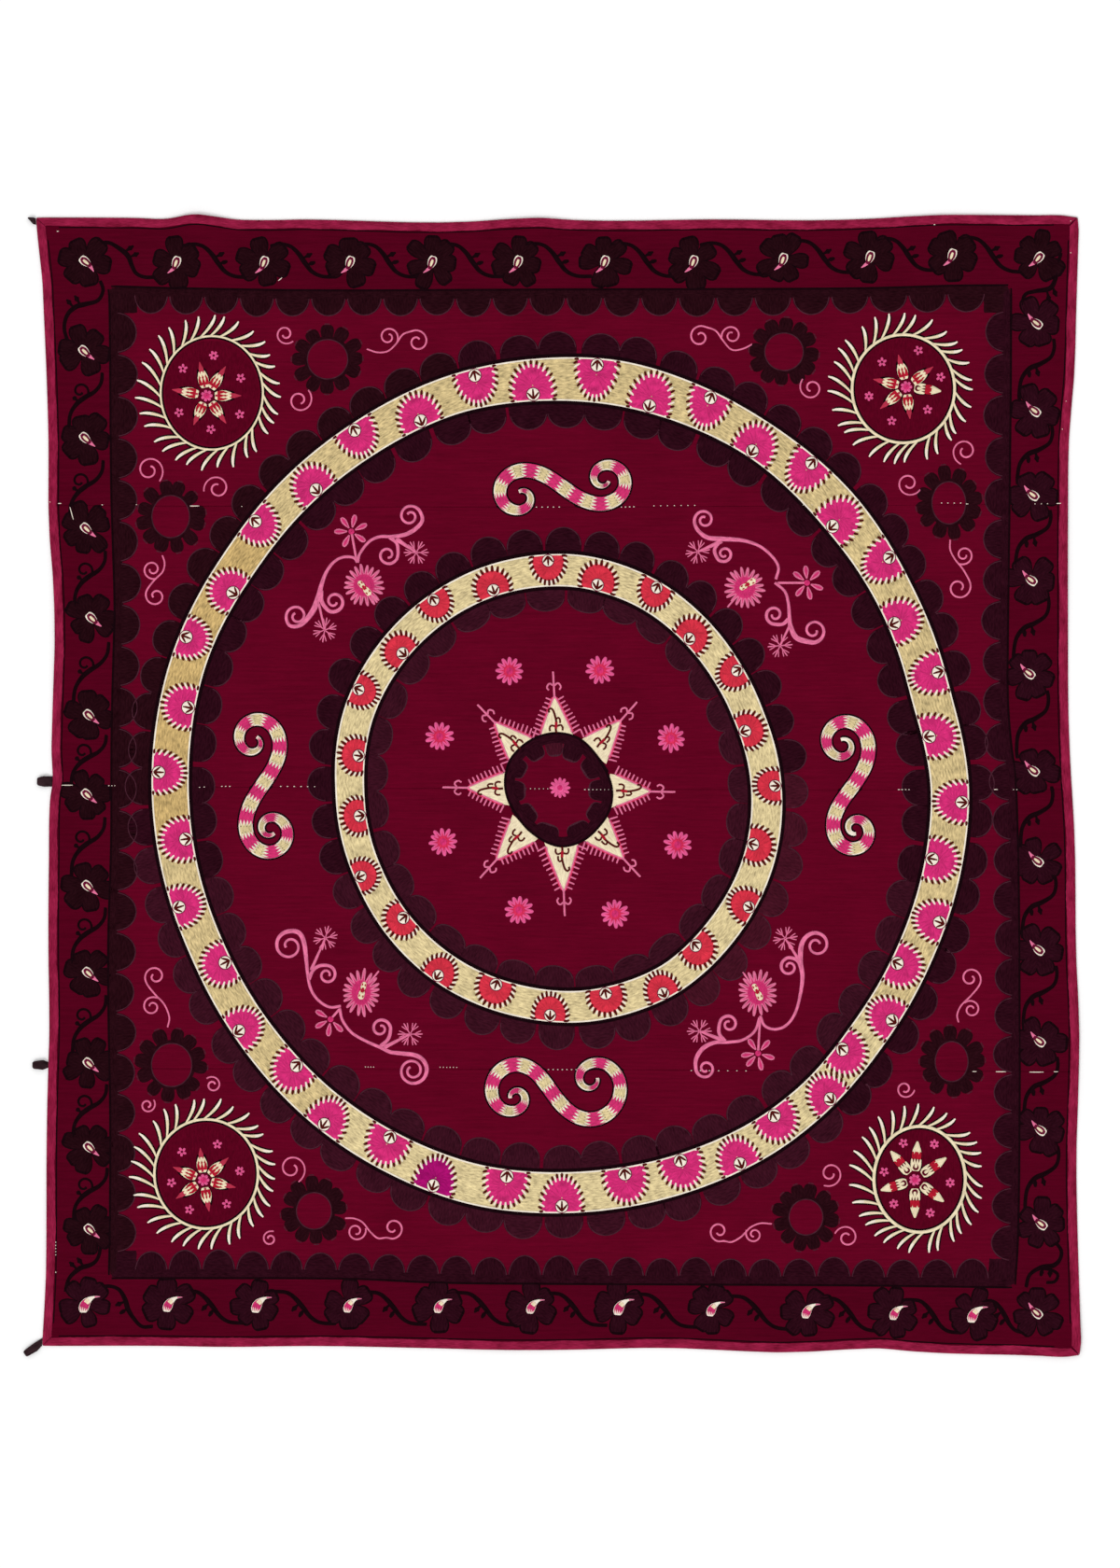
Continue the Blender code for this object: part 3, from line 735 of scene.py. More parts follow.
def stretched(tree, source, across, along, turn=0.0):
    """Coordinates counted in units of so many metres across and along."""
    values = {"Vector": source, "Scale": (1 / across, 1 / along, 1), "Rotation": (0, 0, math.radians(turn))}
    return node(tree, "ShaderNodeMapping", values).outputs["Vector"]


def noise(tree, vector, detail=2.0):
    """Soft random patches, one unit wide."""
    values = {"Vector": vector, "Scale": 1.0, "Detail": detail}
    return node(tree, "ShaderNodeTexNoise", values).outputs["Fac"]


def spread(tree, value, low, high):
    """A value stretched so that the range from low to high fills 0 to 1."""
    values = {"Value": value, "From Min": low, "From Max": high}
    return node(tree, "ShaderNodeMapRange", values).outputs["Result"]


def combine(tree, operation, first, second):
    """Two values or sockets through one arithmetic step."""
    return node(tree, "ShaderNodeMath", {0: first, 1: second}, operation=operation).outputs[0]


def weighted(tree, *parts):
    """A sum of values, each with its weight."""
    scaled = [combine(tree, "MULTIPLY", value, weight) for value, weight in parts]
    total = scaled[0]
    for part in scaled[1:]:
        total = combine(tree, "ADD", total, part)
    return total


def thread_map(tree):
    """Where a point lies across and along its threads."""
    return node(tree, "ShaderNodeUVMap", uv_map="threads").outputs["UV"]


def blend(tree, share, first, second):
    """A mix of two colours."""
    made = node(tree, "ShaderNodeMix", data_type="RGBA")
    for key, value in ((0, share), (6, first), (7, second)):
        if isinstance(value, bpy.types.NodeSocket):
            tree.links.new(value, made.inputs[key])
        else:
            made.inputs[key].default_value = value if key == 0 else (*value, 1)
    return made.outputs[2]


def ribs(tree, vector, pitch, wobble):
    """Even ribs across the first axis, as stitches lie side by side."""
    values = {"Vector": vector, "Scale": 0.314 / pitch, "Distortion": wobble, "Detail": 1.0}
    return node(tree, "ShaderNodeTexWave", values, bands_direction="X", wave_profile="SIN").outputs["Fac"]


def woven(tree, lie, warp, weft, wobble):
    """Threads that cross, each set with its pitch."""
    across = ribs(tree, stretched(tree, lie, 1.0, 1.0, 90), weft, wobble)
    return combine(tree, "ADD", ribs(tree, lie, warp, wobble), across)


def raise_surface(tree, shader, height, strength, distance):
    """Let a height bend the light on a surface."""
    values = {"Height": height, "Strength": strength, "Distance": distance}
    bump = node(tree, "ShaderNodeBump", values)
    tree.links.new(bump.outputs["Normal"], shader.inputs["Normal"])


def shaded(colour, factor):
    """A colour made lighter or darker."""
    return tuple(min(part * factor, 1.0) for part in colour)


def thread_finish(name, thread):
    """Floss stitches that lie side by side along the second axis of their map."""
    colour = linear(thread.colour)
    tint = shaded(colour, 0.9 / max(colour))
    material, tree, shader = finish(name, roughness=0.62, shine=thread.shine, tint=tint, sheen=0.05)
    lie = thread_map(tree)
    place = node(tree, "ShaderNodeTexCoord").outputs["Object"]
    streak = noise(tree, stretched(tree, lie, 3.2 * MM, 12 * MM), 3.0)
    patch = noise(tree, stretched(tree, place, 25 * MM, 25 * MM), 3.0)
    uneven = weighted(tree, (streak, 0.7), (patch, 0.3))
    dark = shaded(colour, 1 - 2.2 * thread.streaks)
    light = shaded(colour, 1 + 2.0 * thread.streaks)
    mixed = blend(tree, spread(tree, uneven, 0.28, 0.72), dark, light)
    tree.links.new(mixed, shader.inputs["Base Color"])
    strands = ribs(tree, lie, 1.3 * MM, 1.2)
    raise_surface(tree, shader, combine(tree, "ADD", strands, streak), 0.6, 0.35 * MM)
    return material


def cloth_finish():
    """Burgundy cotton, faintly ribbed across, a little darker and browner in the border strip."""
    colour = linear(GROUND_COLOUR)
    material, tree, shader = finish("ground_cotton", roughness=0.72, shine=0.015, tint=(1.0, 0.2, 0.3))
    lie = thread_map(tree)
    long_streak = noise(tree, stretched(tree, lie, 95 * MM, 4.5 * MM), 3.0)
    short_streak = noise(tree, stretched(tree, lie, 17 * MM, 2.6 * MM), 2.0)
    patch = noise(tree, stretched(tree, lie, 130 * MM, 110 * MM), 3.0)
    uneven = weighted(tree, (long_streak, 0.5), (short_streak, 0.25), (patch, 0.25))
    plain = blend(tree, spread(tree, uneven, 0.3, 0.7), shaded(colour, 0.74), shaded(colour, 1.24))
    strip = node(tree, "ShaderNodeAttribute", attribute_name="border_strip").outputs["Fac"]
    shade = node(tree, "ShaderNodeMix", {0: strip}, data_type="RGBA", blend_type="MULTIPLY")
    tree.links.new(plain, shade.inputs[6])
    shade.inputs[7].default_value = STRIP_SHADE
    tree.links.new(shade.outputs[2], shader.inputs["Base Color"])
    weave = combine(tree, "ADD", woven(tree, lie, 1.1 * MM, 1.6 * MM, 0.4), long_streak)
    raise_surface(tree, shader, weave, 0.5, 0.25 * MM)
    return material


def tape_finish(name, dark, light, shine):
    """Woven tape in a dark tone with a paler one mixed in streaks and patches; on the binding the paler tone
    is a painted highlight.
    """
    material, tree, shader = finish(name, roughness=0.75, shine=shine, tint=(1.0, 0.35, 0.5))
    lie = thread_map(tree)
    streak = noise(tree, stretched(tree, lie, 1.7 * MM, 14 * MM), 3.0)
    patch = noise(tree, stretched(tree, lie, 14 * MM, 46 * MM), 3.0)
    uneven = weighted(tree, (streak, 0.5), (patch, 0.5))
    mixed = blend(tree, spread(tree, uneven, 0.32, 0.68), linear(dark), linear(light))
    tree.links.new(mixed, shader.inputs["Base Color"])
    weave = combine(tree, "ADD", woven(tree, lie, 1.0 * MM, 1.2 * MM, 0.5), patch)
    raise_surface(tree, shader, weave, 0.6, 0.3 * MM)
    return material


def floor_finish():
    """A plain pale floor with the faintest grain."""
    material, tree, shader = finish("studio_floor", roughness=0.9, shine=0.1, tint=(1, 1, 1))
    place = node(tree, "ShaderNodeTexCoord").outputs["Object"]
    grain = noise(tree, stretched(tree, place, 0.4, 0.4), 2.0)
    mixed = blend(tree, grain, (0.93, 0.93, 0.93), (0.95, 0.95, 0.95))
    tree.links.new(mixed, shader.inputs["Base Color"])
    return material


# Cloth, bindings and loops

def mesh_piece(name, points, faces, threads, material):
    """A shown piece on the root body, with the directions of its threads kept as a map."""
    mesh = bpy.data.meshes.new(name)
    mesh.from_pydata(np.asarray(points).tolist(), [], np.asarray(faces).tolist())
    mesh.update()
    layer = mesh.uv_layers.new(name="threads")
    corners = np.empty(len(mesh.loops), int)
    mesh.loops.foreach_get("vertex_index", corners)
    layer.data.foreach_set("uv", np.asarray(threads)[corners].astype(np.float32).ravel())
    mesh.shade_smooth()
    mesh.materials.append(material)
    piece = bpy.data.objects.new(name, mesh)
    bpy.context.scene.collection.objects.link(piece)
    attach(piece, "root")
    return piece


def grid_faces(rows, columns, start=0, closed=False):
    """The four-sided faces of a grid of points."""
    index = np.arange(rows * columns).reshape(rows, columns) + start
    if closed:
        index = np.concatenate([index, index[:1]], 0)
    faces = np.stack([index[:-1, :-1], index[1:, :-1], index[1:, 1:], index[:-1, 1:]], -1)
    return faces.reshape(-1, 4)


def thicken(piece, thickness, offset):
    """Give a sheet its thickness."""
    solidify = piece.modifiers.new("Thickness", "SOLIDIFY")
    solidify.thickness = thickness
    solidify.offset = offset


def panel_rows(low, high):
    """Shares up a panel for its rows of points, close together at its seams."""
    span = high - low
    count = round(span / CLOTH_STEP)
    close = np.array([0.0, 0.3, 0.65, 1.0]) * SEAM_ROUNDING / span
    middle = np.linspace(2.2 * SEAM_ROUNDING / span, 1 - 2.2 * SEAM_ROUNDING / span, count)
    return np.concatenate([close, middle, 1 - close[::-1]])


def border_share(x, y):
    """1 where a point lies in the border strip and 0 inside it."""
    left = STRIP_LEFT - (x / PX + MIDDLE_X)
    right = x / PX + MIDDLE_X - STRIP_RIGHT
    top = STRIP_TOP - (MIDDLE_Y - y / PX)
    bottom = MIDDLE_Y - y / PX - STRIP_BOTTOM
    return np.clip(np.maximum.reduce([left, right, top, bottom]) / STRIP_BLUR + 0.5, 0, 1)


def build_panel(index, material):
    """A fine panel of cloth on its packed one, with its edges rounded into the seams."""
    inset = CLOTH_INSET
    top_index = len(SEAMS)

    def low_at(x):
        return edge("bottom", x) + inset if index == 0 else seam_height(SEAMS[index - 1], x)

    def high_at(x):
        return edge("top", x) - inset if index == top_index else seam_height(SEAMS[index], x)

    shares = panel_rows(float(low_at(0.0)), float(high_at(0.0)))
    u, v = np.meshgrid(np.linspace(0, 1, CLOTH_COLUMNS), shares)
    x = u * 2 - 1
    for _ in range(5):
        y = low_at(x) + (high_at(x) - low_at(x)) * v
        left = edge("left", y) + inset
        x = left + (edge("right", y) - inset - left) * u
    far = np.full(y.shape, 1.0)
    from_low = y - low_at(x) if index > 0 else far
    from_high = high_at(x) - y if index < top_index else far
    near = np.clip(1 - np.minimum(from_low, from_high) / SEAM_ROUNDING, 0, 1)
    z = cloth_height(x, y) - SEAM_DEPTH * near ** 2
    points = np.stack([x, y, z], -1).reshape(-1, 3)
    faces = grid_faces(*u.shape)[:, ::-1]
    number = top_index + 1 - index
    piece = mesh_piece(f"cloth_{number}", points, faces, points[:, :2], material)
    strip = piece.data.attributes.new("border_strip", "FLOAT", "POINT")
    strip.data.foreach_set("value", border_share(x, y).ravel().astype(np.float32))
    thicken(piece, CLOTH_THICKNESS, -1)
    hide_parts(f"panel_{number}")


# The folded tape's middle line as inset from the edge and height, in millimetres, from its lower
# wall round the edge to the stitched line on its upper wall
TAPE_PROFILE = (
    (18, 0.45), (11, 0.45), (4, 0.45), (1.4, 0.6), (0.6, 1.1), (0.42, 1.9), (0.6, 2.8), (1.5, 3.6),
    (3.6, 4.0), (7.5, 4.15), (11.5, 4.0), (14.8, 3.6), (17, 3.3), (18, 3.2),
)


def corner_of(side, end):
    """The x and y of a corner of the outline."""
    x = 0.0
    y = 0.0
    for _ in range(6):
        y = float(edge(end, x))
        x = float(edge(side, y))
    return x, y


def tape_unevenness(wave, upper):
    """How the upper wall of a tape wanders aside, puffs up and dips where stitches catch it."""
    caught = np.exp(-((np.mod(wave, 1) - 0.5) / 0.16) ** 2)
    wander = 0.9 * np.sin(wave * 0.41 + 1) + 0.5 * np.sin(wave * 1.13)
    aside = (wander * MM + 0.5 * MM * caught) * upper ** 2
    puff = np.sin(np.pi * upper) * (0.35 * np.sin(wave * 0.77) + 0.3 * np.sin(wave * 2.1 + 2)) * MM
    return aside, puff, caught * upper ** 3 * 0.3 * MM


def build_binding(side, first, last, material):
    """A folded tape along one edge, mitred at both ends and caught down by stitches inside."""
    upright = side in ("left", "right")
    start = corner_of(*first)[1 if upright else 0] + MITRE_GAP
    stop = corner_of(*last)[1 if upright else 0] - MITRE_GAP
    inward = 1 if side in ("left", "bottom") else -1
    count = round((stop - start) / TAPE_STEP)
    stations = np.linspace(start, stop, count)
    lean_in = np.clip(1 - (stations - start) / MITRE_REACH, 0, 1)
    lean_out = np.clip(1 - (stop - stations) / MITRE_REACH, 0, 1)
    lean = lean_in - lean_out
    profile = np.array(TAPE_PROFILE) * MM
    inset = profile[None, :, 0]
    step = np.arange(len(TAPE_PROFILE))
    upper = np.clip((step - 7) / 6, 0, 1)[None]
    aside, puff, dip = tape_unevenness(stations[:, None] / STITCH_SPACING, upper)
    inset = inset + aside
    place = stations[:, None] + lean[:, None] * inset
    if upright:
        y = place
        x = edge(side, y) + inward * inset
        lift = cloth_height(edge(side, y) + inward * BINDING_WIDTH, y) - FLAT_TOP
    else:
        x = place
        y = edge(side, x) + inward * inset
        lift = cloth_height(x, edge(side, x) + inward * BINDING_WIDTH) - FLAT_TOP
    z = profile[None, :, 1] + puff - dip + np.maximum(lift, 0)
    points = np.stack([x, y, z], -1).reshape(-1, 3)
    along = lengths_along(np.stack([x[:, 6], y[:, 6]], -1))
    across = lengths_along(profile)
    threads = np.stack(np.broadcast_arrays(across[None], along[:, None]), -1).reshape(-1, 2)
    faces = grid_faces(*x.shape)
    if (inward > 0) == upright:
        faces = faces[:, ::-1]
    piece = mesh_piece(f"tape_{side}", points, faces, threads, material)
    thicken(piece, TAPE_THICKNESS, 0)
    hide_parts(f"binding_{side}")


def build_bindings():
    """The four tapes round the cloth."""
    # The binding's paler tone is a painted highlight
    material = tape_finish("binding_cotton", *BINDING_AND_HIGHLIGHT_COLOURS, shine=0.02)
    for side in ("top", "bottom"):
        build_binding(side, ("left", side), ("right", side), material)
    for side in ("left", "right"):
        build_binding(side, (side, "bottom"), (side, "top"), material)


def build_loops():
    """The hanging loops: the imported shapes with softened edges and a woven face."""
    material = tape_finish("loop_cotton", *LOOP_COLOURS, shine=0.05)
    for name in LOOPS:
        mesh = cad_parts[name].data.copy()
        mesh.name = name + "_cloth"
        mesh.materials.clear()
        mesh.materials.append(material)
        piece = bpy.data.objects.new(name + "_cloth", mesh)
        bpy.context.scene.collection.objects.link(piece)
        weld = piece.modifiers.new("Weld", "WELD")
        weld.merge_threshold = 0.02 * MM
        bevel = piece.modifiers.new("Soft edges", "BEVEL")
        bevel.width = 0.35 * MM
        bevel.segments = 2
        bevel.limit_method = "ANGLE"
        bevel.angle_limit = math.radians(50)
        layer = mesh.uv_layers.get("threads") or mesh.uv_layers.new(name="threads")
        lengthwise = math.radians(33 if name.endswith("4") else 0)
        for corner in mesh.loops:
            point = mesh.vertices[corner.vertex_index].co
            along = point.x * math.cos(lengthwise) + point.y * math.sin(lengthwise)
            across = point.y * math.cos(lengthwise) - point.x * math.sin(lengthwise)
            layer.data[corner.index].uv = (across, along)
        mesh.shade_smooth()
        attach(piece, "root")
        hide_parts(name)


# Stitches laid on the cloth

class Stitches:
    """Grids of points in photo pixels that are laid on the cloth together as one piece."""

    def __init__(self):
        self.places = []
        self.rises = []
        self.threads = []
        self.faces = []
        self.total = 0

    def lay(self, places, rises, threads, closed=False):
        """Add a grid of points with the rise of each above the cloth, in millimetres."""
        rows, columns = places.shape[:2]
        k = max(rows // 2, 1)
        ahead = places[k, columns // 2] - places[k - 1, columns // 2]
        beside = places[k, -1] - places[k, 0]
        faces = grid_faces(rows, columns, self.total, closed)
        if ahead[0] * beside[1] - ahead[1] * beside[0] > 0:
            faces = faces[:, ::-1]
        self.places.append(places.reshape(-1, 2))
        self.rises.append(np.broadcast_to(rises, (rows, columns)).reshape(-1))
        self.threads.append(threads.reshape(-1, 2))
        self.faces.append(faces)
        self.total += rows * columns

    def build(self, name, material):
        """Lay every grid on the cloth."""
        places = np.concatenate(self.places)
        x, y = photo_to_cloth(places)
        z = cloth_height(x, y) + np.concatenate(self.rises) * MM
        points = np.stack([x, y, z], -1)
        threads = np.concatenate(self.threads) * PX
        return mesh_piece(name, points, np.concatenate(self.faces), threads, material)


WORK = {}


def sheet(group, thread):
    """The stitches of a group of motifs that are worked in one thread."""
    return WORK.setdefault((group, thread), Stitches())


def local(x, y, ahead=0.0):
    """A frame at a photo pixel: its first axis points ahead, and its second to the left of that."""
    c = math.cos(math.radians(ahead))
    s = math.sin(math.radians(ahead))

    def to_photo(points):
        points = np.asarray(points, float)
        u = points[..., 0]
        v = points[..., 1]
        return np.stack([x + u * c - v * s, y - u * s - v * c], -1)

    return to_photo


def moved(frame_of, x, y):
    """The same frame with its origin moved along its own axes."""
    return lambda points: frame_of(np.asarray(points, float) + np.array([x, y]))


def lengthened(frame_of, size):
    """The same frame made longer or shorter ahead."""
    return lambda points: frame_of(np.asarray(points, float) * np.array([size, 1.0]))


def lengths_along(path):
    """Distance from the start to each point of a path."""
    steps = np.hypot(*np.diff(path, axis=0).T)
    return np.concatenate([[0.0], np.cumsum(steps)])


def even_path(path, step):
    """The same path with even steps."""
    path = np.asarray(path, float)
    along = lengths_along(path)
    marks = np.linspace(0, along[-1], max(3, round(along[-1] / step) + 1))
    return np.stack([np.interp(marks, along, path[:, 0]), np.interp(marks, along, path[:, 1])], -1)


def smooth_path(points, step=2.5):
    """A smooth curve through a few points, with even steps."""
    points = np.asarray(points, float)
    padded = np.concatenate([2 * points[:1] - points[1:2], points, 2 * points[-1:] - points[-2:-1]])
    t = np.linspace(0, 1, 12, endpoint=False)[:, None]
    pieces = []
    for k in range(len(points) - 1):
        a, b, c, d = padded[k:k + 4]
        pieces.append(0.5 * (2 * b + (c - a) * t + (2 * a - 5 * b + 4 * c - d) * t ** 2
                             + (3 * b - a - 3 * c + d) * t ** 3))
    return even_path(np.concatenate([*pieces, points[-1:]]), step)


def across_path(path, closed=False):
    """Unit steps to the left of a path, as the photo shows it."""
    if closed:
        heading = np.roll(path, -1, 0) - np.roll(path, 1, 0)
    else:
        heading = np.gradient(path, axis=0)
    heading /= np.maximum(np.hypot(heading[:, 0], heading[:, 1]), 1e-9)[:, None]
    return np.stack([heading[:, 1], -heading[:, 0]], -1)


def run(target, path, half, rise, section=CORD, closed=False):
    """A run of stitches along a path in photo pixels, with its half width at each point."""
    path = np.asarray(path, float)
    count = len(path)
    side = across_path(path, closed)
    half = np.broadcast_to(np.maximum(half, 0.12), count)
    across = np.array([place for place, _ in section])
    share = np.array([part for _, part in section])
    places = path[:, None] + side[:, None] * (half[:, None] * across[None])[..., None]
    rises = ROOT + (rise - ROOT) * share[None] * np.ones((count, 1))
    if not closed:
        rises[[0, -1]] = ROOT + (rise - ROOT) * share[0]
    along = lengths_along(path)
    threads = np.stack([half[:, None] * across[None], along[:, None] * np.ones(len(across))], -1)
    target.lay(places, rises, threads, closed)


def petal(target, frame_of, start, end, half, rise, shape=ROUND_PETAL, section=CORD, bend=0.0):
    """A petal or leaf along a frame's first axis, bent sideways by so much at its tip."""
    t = np.linspace(0, 1, len(shape))
    spine = np.stack([start + (end - start) * t, bend * t * t], -1)
    run(target, frame_of(spine), np.array(shape) * half, rise, section)


def disc(target, frame_of, across, up, rise, corners=20):
    """An oval patch, slightly domed."""
    angles = np.linspace(0, 2 * math.pi, corners, endpoint=False)
    circle = np.stack([across * np.cos(angles), up * np.sin(angles)], -1)
    shares = np.array((0.08, 0.55, 0.88, 1.0))
    flat = circle[:, None] * shares[None, :, None]
    rises = np.full((corners, len(shares)), rise)
    rises[:, -1] = ROOT
    target.lay(frame_of(flat), rises, flat, closed=True)


def oval_path(x, y, across, up, corners):
    """The points of an ellipse, counterclockwise from its right end."""
    angles = np.linspace(0, 2 * math.pi, corners, endpoint=False)
    return np.stack([x + across * np.cos(angles), y - up * np.sin(angles)], -1)


def spiral(start, eye_x, eye_y, turns, power=1.0, least=0.26):
    """A spiral from a point round its eye, counterclockwise where turns is positive."""
    reach = math.hypot(start[0] - eye_x, start[1] - eye_y)
    angle = math.atan2(eye_y - start[1], start[0] - eye_x)
    count = max(6, round(abs(turns) * 30))
    t = np.linspace(0, 1, count)
    radius = reach * (1 - (1 - least) * t ** power)
    turn = angle + 2 * math.pi * turns * t
    return np.stack([eye_x + radius * np.cos(turn), eye_y - radius * np.sin(turn)], -1)


def coil(lead, eye_x, eye_y, turns, power=1.0):
    """A line through its lead points that winds round an eye."""
    winding = spiral(lead[-1], eye_x, eye_y, turns, power)
    if len(lead) == 1:
        return even_path(winding, 2.0)
    points = np.concatenate([np.asarray(lead[:-1], float), winding[:-2:3], winding[-1:]])
    return smooth_path(points, 2.0)


# The rings

def ring_edges(ring):
    """Two functions of the angle: the radius of a ring's inner edge and of its outer one."""
    fine = np.arange(0, 360, 1.0)
    angles = [row.angle for row in ring.edges] + [360]

    def smooth(values):
        level = np.interp(fine, angles, [*values, values[0]])
        for _ in range(14):
            level = 0.25 * np.roll(level, 1) + 0.5 * level + 0.25 * np.roll(level, -1)
        return lambda angle: np.interp(np.mod(angle, 360), [*fine, 360.0], [*level, level[0]])

    return smooth([row.inner for row in ring.edges]), smooth([row.outer for row in ring.edges])


def ring_points(ring, reach, angles):
    """Points so far from a ring's centre at some angles."""
    turn = np.radians(angles)
    return np.stack([ring.x + reach * np.cos(turn), ring.y - reach * np.sin(turn)], -1)


def ring_path(ring, radius, corners=540):
    """A closed path round a ring's centre at a radius for each angle."""
    angles = np.linspace(0, 360, corners, endpoint=False)
    return ring_points(ring, radius(angles), angles)


def ring_frame(ring, radius, angle, way):
    """A frame on a ring's edge: along the edge, and outward from it where way is 1, inward at -1."""

    def to_photo(points):
        points = np.asarray(points, float)
        turn = angle - way * np.degrees(points[..., 0] / radius(angle))
        return ring_points(ring, radius(turn) + way * points[..., 1], turn)

    return to_photo


def lobe(group, thread, frame_of, width, depth, side_depth):
    """A dark thumb-shaped lobe on a straight base, with a paler rim painted on as a highlight."""
    t = np.linspace(math.pi, 0, 15)
    across = width / 2 * np.cos(t)
    reach = side_depth + (depth - side_depth) * np.clip(np.sin(t), 0, 1) ** 0.85
    shares = np.array([0.0, 0.35, 0.7, 0.93, 1.0])
    flat = np.stack([across[:, None] * np.ones(len(shares)), reach[:, None] * shares[None]], -1)
    rises = np.full(flat.shape[:2], LOW)
    rises[:, -1] = ROOT
    rises[[0, -1]] = ROOT
    threads = flat[..., ::-1] if chance.random() < 0.5 else flat
    sheet(group, thread).lay(frame_of(flat), rises, threads)
    # The paler rim is a painted highlight
    rim = np.stack([across * 0.95, reach - 0.9], -1)
    run(sheet(group, "slate"), frame_of(rim), 0.75, LOW + 0.3, LINE)


def lobes_round(group, ring, radius, lobes, way):
    """Lobes round one side of a ring, as uneven as hand work, some stretches in another thread."""
    pitch = 360 / lobes.count
    for k in range(lobes.count):
        angle = lobes.phase + k * pitch + chance.normal(0, 0.25)
        width = math.radians(pitch) * radius(angle) * 0.98
        away = ring_frame(ring, lambda a: radius(a) + way * 3.5, angle, way)
        thread = "aubergine"
        for start, stop, other in lobes.stretches:
            if start <= angle % 360 <= stop:
                thread = other
        lobe(group, thread, away, width, lobes.depth * chance.uniform(0.94, 1.06), lobes.side_depth)


def fan_rim(angle, half, depth):
    """A point on a fan flower's body, at an angle round its middle."""
    y = FAN_MIDDLE + (depth - FAN_MIDDLE) * np.sin(angle)
    return np.stack([half * np.cos(angle), np.maximum(y, 0.3)], -1)


def fan(group, thread, frame_of, depth, look):
    """A fan flower on a straight base: its body, a fringe of teeth and an eye with three strokes."""
    inner_half = look.half - 1.8
    inner_depth = depth - 1.8
    fan_body(sheet(group, thread), frame_of, inner_half, inner_depth)
    fan_fringe(group, frame_of, inner_half, inner_depth, look)
    fan_eye(group, moved(frame_of, 0.0, look.eye * 0.95), look.eye)


def fan_body(target, frame_of, half, depth):
    """The body of a fan flower, whose threads lie out from its heart."""
    heart = np.array([0.0, depth * 0.4])
    edge_angles = np.linspace(math.radians(-32), math.radians(212), 21)
    rim = fan_rim(edge_angles, half, depth)
    base = np.stack([np.linspace(rim[-1, 0], rim[0, 0], 5)[1:-1], np.full(3, 0.3)], -1)
    outline = np.concatenate([rim, base])
    shares = np.array([0.03, 0.35, 0.7, 0.93, 1.0])
    flat = heart + (outline[:, None] - heart) * shares[None, :, None]
    rises = np.full(flat.shape[:2], HIGH)
    rises[:, -1] = ROOT
    turn = np.arctan2(flat[..., 1] - heart[1], flat[..., 0] - heart[0])
    reach = np.hypot(flat[..., 0] - heart[0], flat[..., 1] - heart[1])
    target.lay(frame_of(flat), rises, np.stack([turn * 12, reach], -1), closed=True)


def fan_fringe(group, frame_of, half, depth, look):
    """White cuts between the teeth of a fan flower, then the dark teeth themselves."""
    marks = np.linspace(math.radians(-20), math.radians(200), look.teeth)
    pitch = marks[1] - marks[0]
    for colour, begin, end, wide, rise, shift in (
        ("white", -look.cut, 2.3, 1.05, HIGH + 0.3, 0.5),
        ("umber", 0.7 * look.cut - 5.3, 3.1, 1.35, HIGH + 0.55, 0.0),
    ):
        for mark in marks[:-1] if shift else marks:
            angle = mark + shift * pitch
            foot = fan_rim(angle, half, depth)
            toward = np.array([math.cos(angle) * (depth - FAN_MIDDLE), math.sin(angle) * half])
            toward = toward / np.hypot(*toward) + (0.0, 0.6)
            toward /= np.hypot(*toward)
            t = np.linspace(begin, end * chance.uniform(0.9, 1.1), 4)
            spine = foot + t[:, None] * toward
            spine[:, 1] = np.maximum(spine[:, 1], 1.2)
            run(sheet(group, colour), frame_of(spine), wide * np.array(TOOTH), rise, OVER)


def fan_eye(group, at_eye, eye):
    """A fan flower's white eye in its dark edge, with three strokes."""
    disc(sheet(group, "maroon"), at_eye, eye + 0.8, eye + 0.8, HIGH + 0.6, 16)
    disc(sheet(group, "white"), at_eye, eye, eye, HIGH + 0.75, 16)
    for lean in (-40, 0, 40):
        turn = math.radians(90 + lean)
        t = np.linspace(0.0, eye * (1.5 if lean == 0 else 1.25), 4)
        stroke = np.stack([t * math.cos(turn), -eye * 0.72 + t * math.sin(turn)], -1)
        run(sheet(group, "umber"), at_eye(stroke), 1.2 * np.array(TOOTH), TOP + 0.8, OVER)


def ring_band(group, ring, arcs):
    """The band of a ring in its shades of cream, with its white edges and black outlines."""
    inner, outer = ring_edges(ring)
    for start, stop, thread in arcs:
        angles = np.linspace(start, stop, round((stop - start) * 1.5))
        path = ring_points(ring, (inner(angles) + outer(angles)) / 2, angles)
        half = (outer(angles) - inner(angles)) / 2
        run(sheet(group, thread), path, half, MIDDLE, BAND)
    for radius, way in ((inner, -1), (outer, 1)):
        edging = ring_path(ring, lambda a: radius(a) - way * 0.4)
        run(sheet(group, "white"), edging, 0.8, HIGH, OVER, True)
        outline = ring_path(ring, lambda a: radius(a) + way * 2.4)
        run(sheet(group, "black"), outline, 2.4, LOW + 0.2, CORD, True)
    return inner, outer


def draw_ring(group, ring, arcs, fans, look, lobes):
    """A ring's band, its fan flowers and its lobes on both sides."""
    inner, outer = ring_band(group, ring, arcs)
    for flower in fans:
        radius = outer if flower.eye == OUT else inner
        way = -1 if flower.eye == OUT else 1
        depth = outer(flower.angle) - inner(flower.angle) - 1.5
        body = "purple" if flower.angle == PURPLE_FAN else look.thread
        fan(group, body, ring_frame(ring, radius, flower.angle, way), depth, look)
    for radius, row, way in zip((outer, inner), lobes, (1, -1)):
        lobes_round(group, ring, radius, row, way)


# Scrolls, sprays and curls

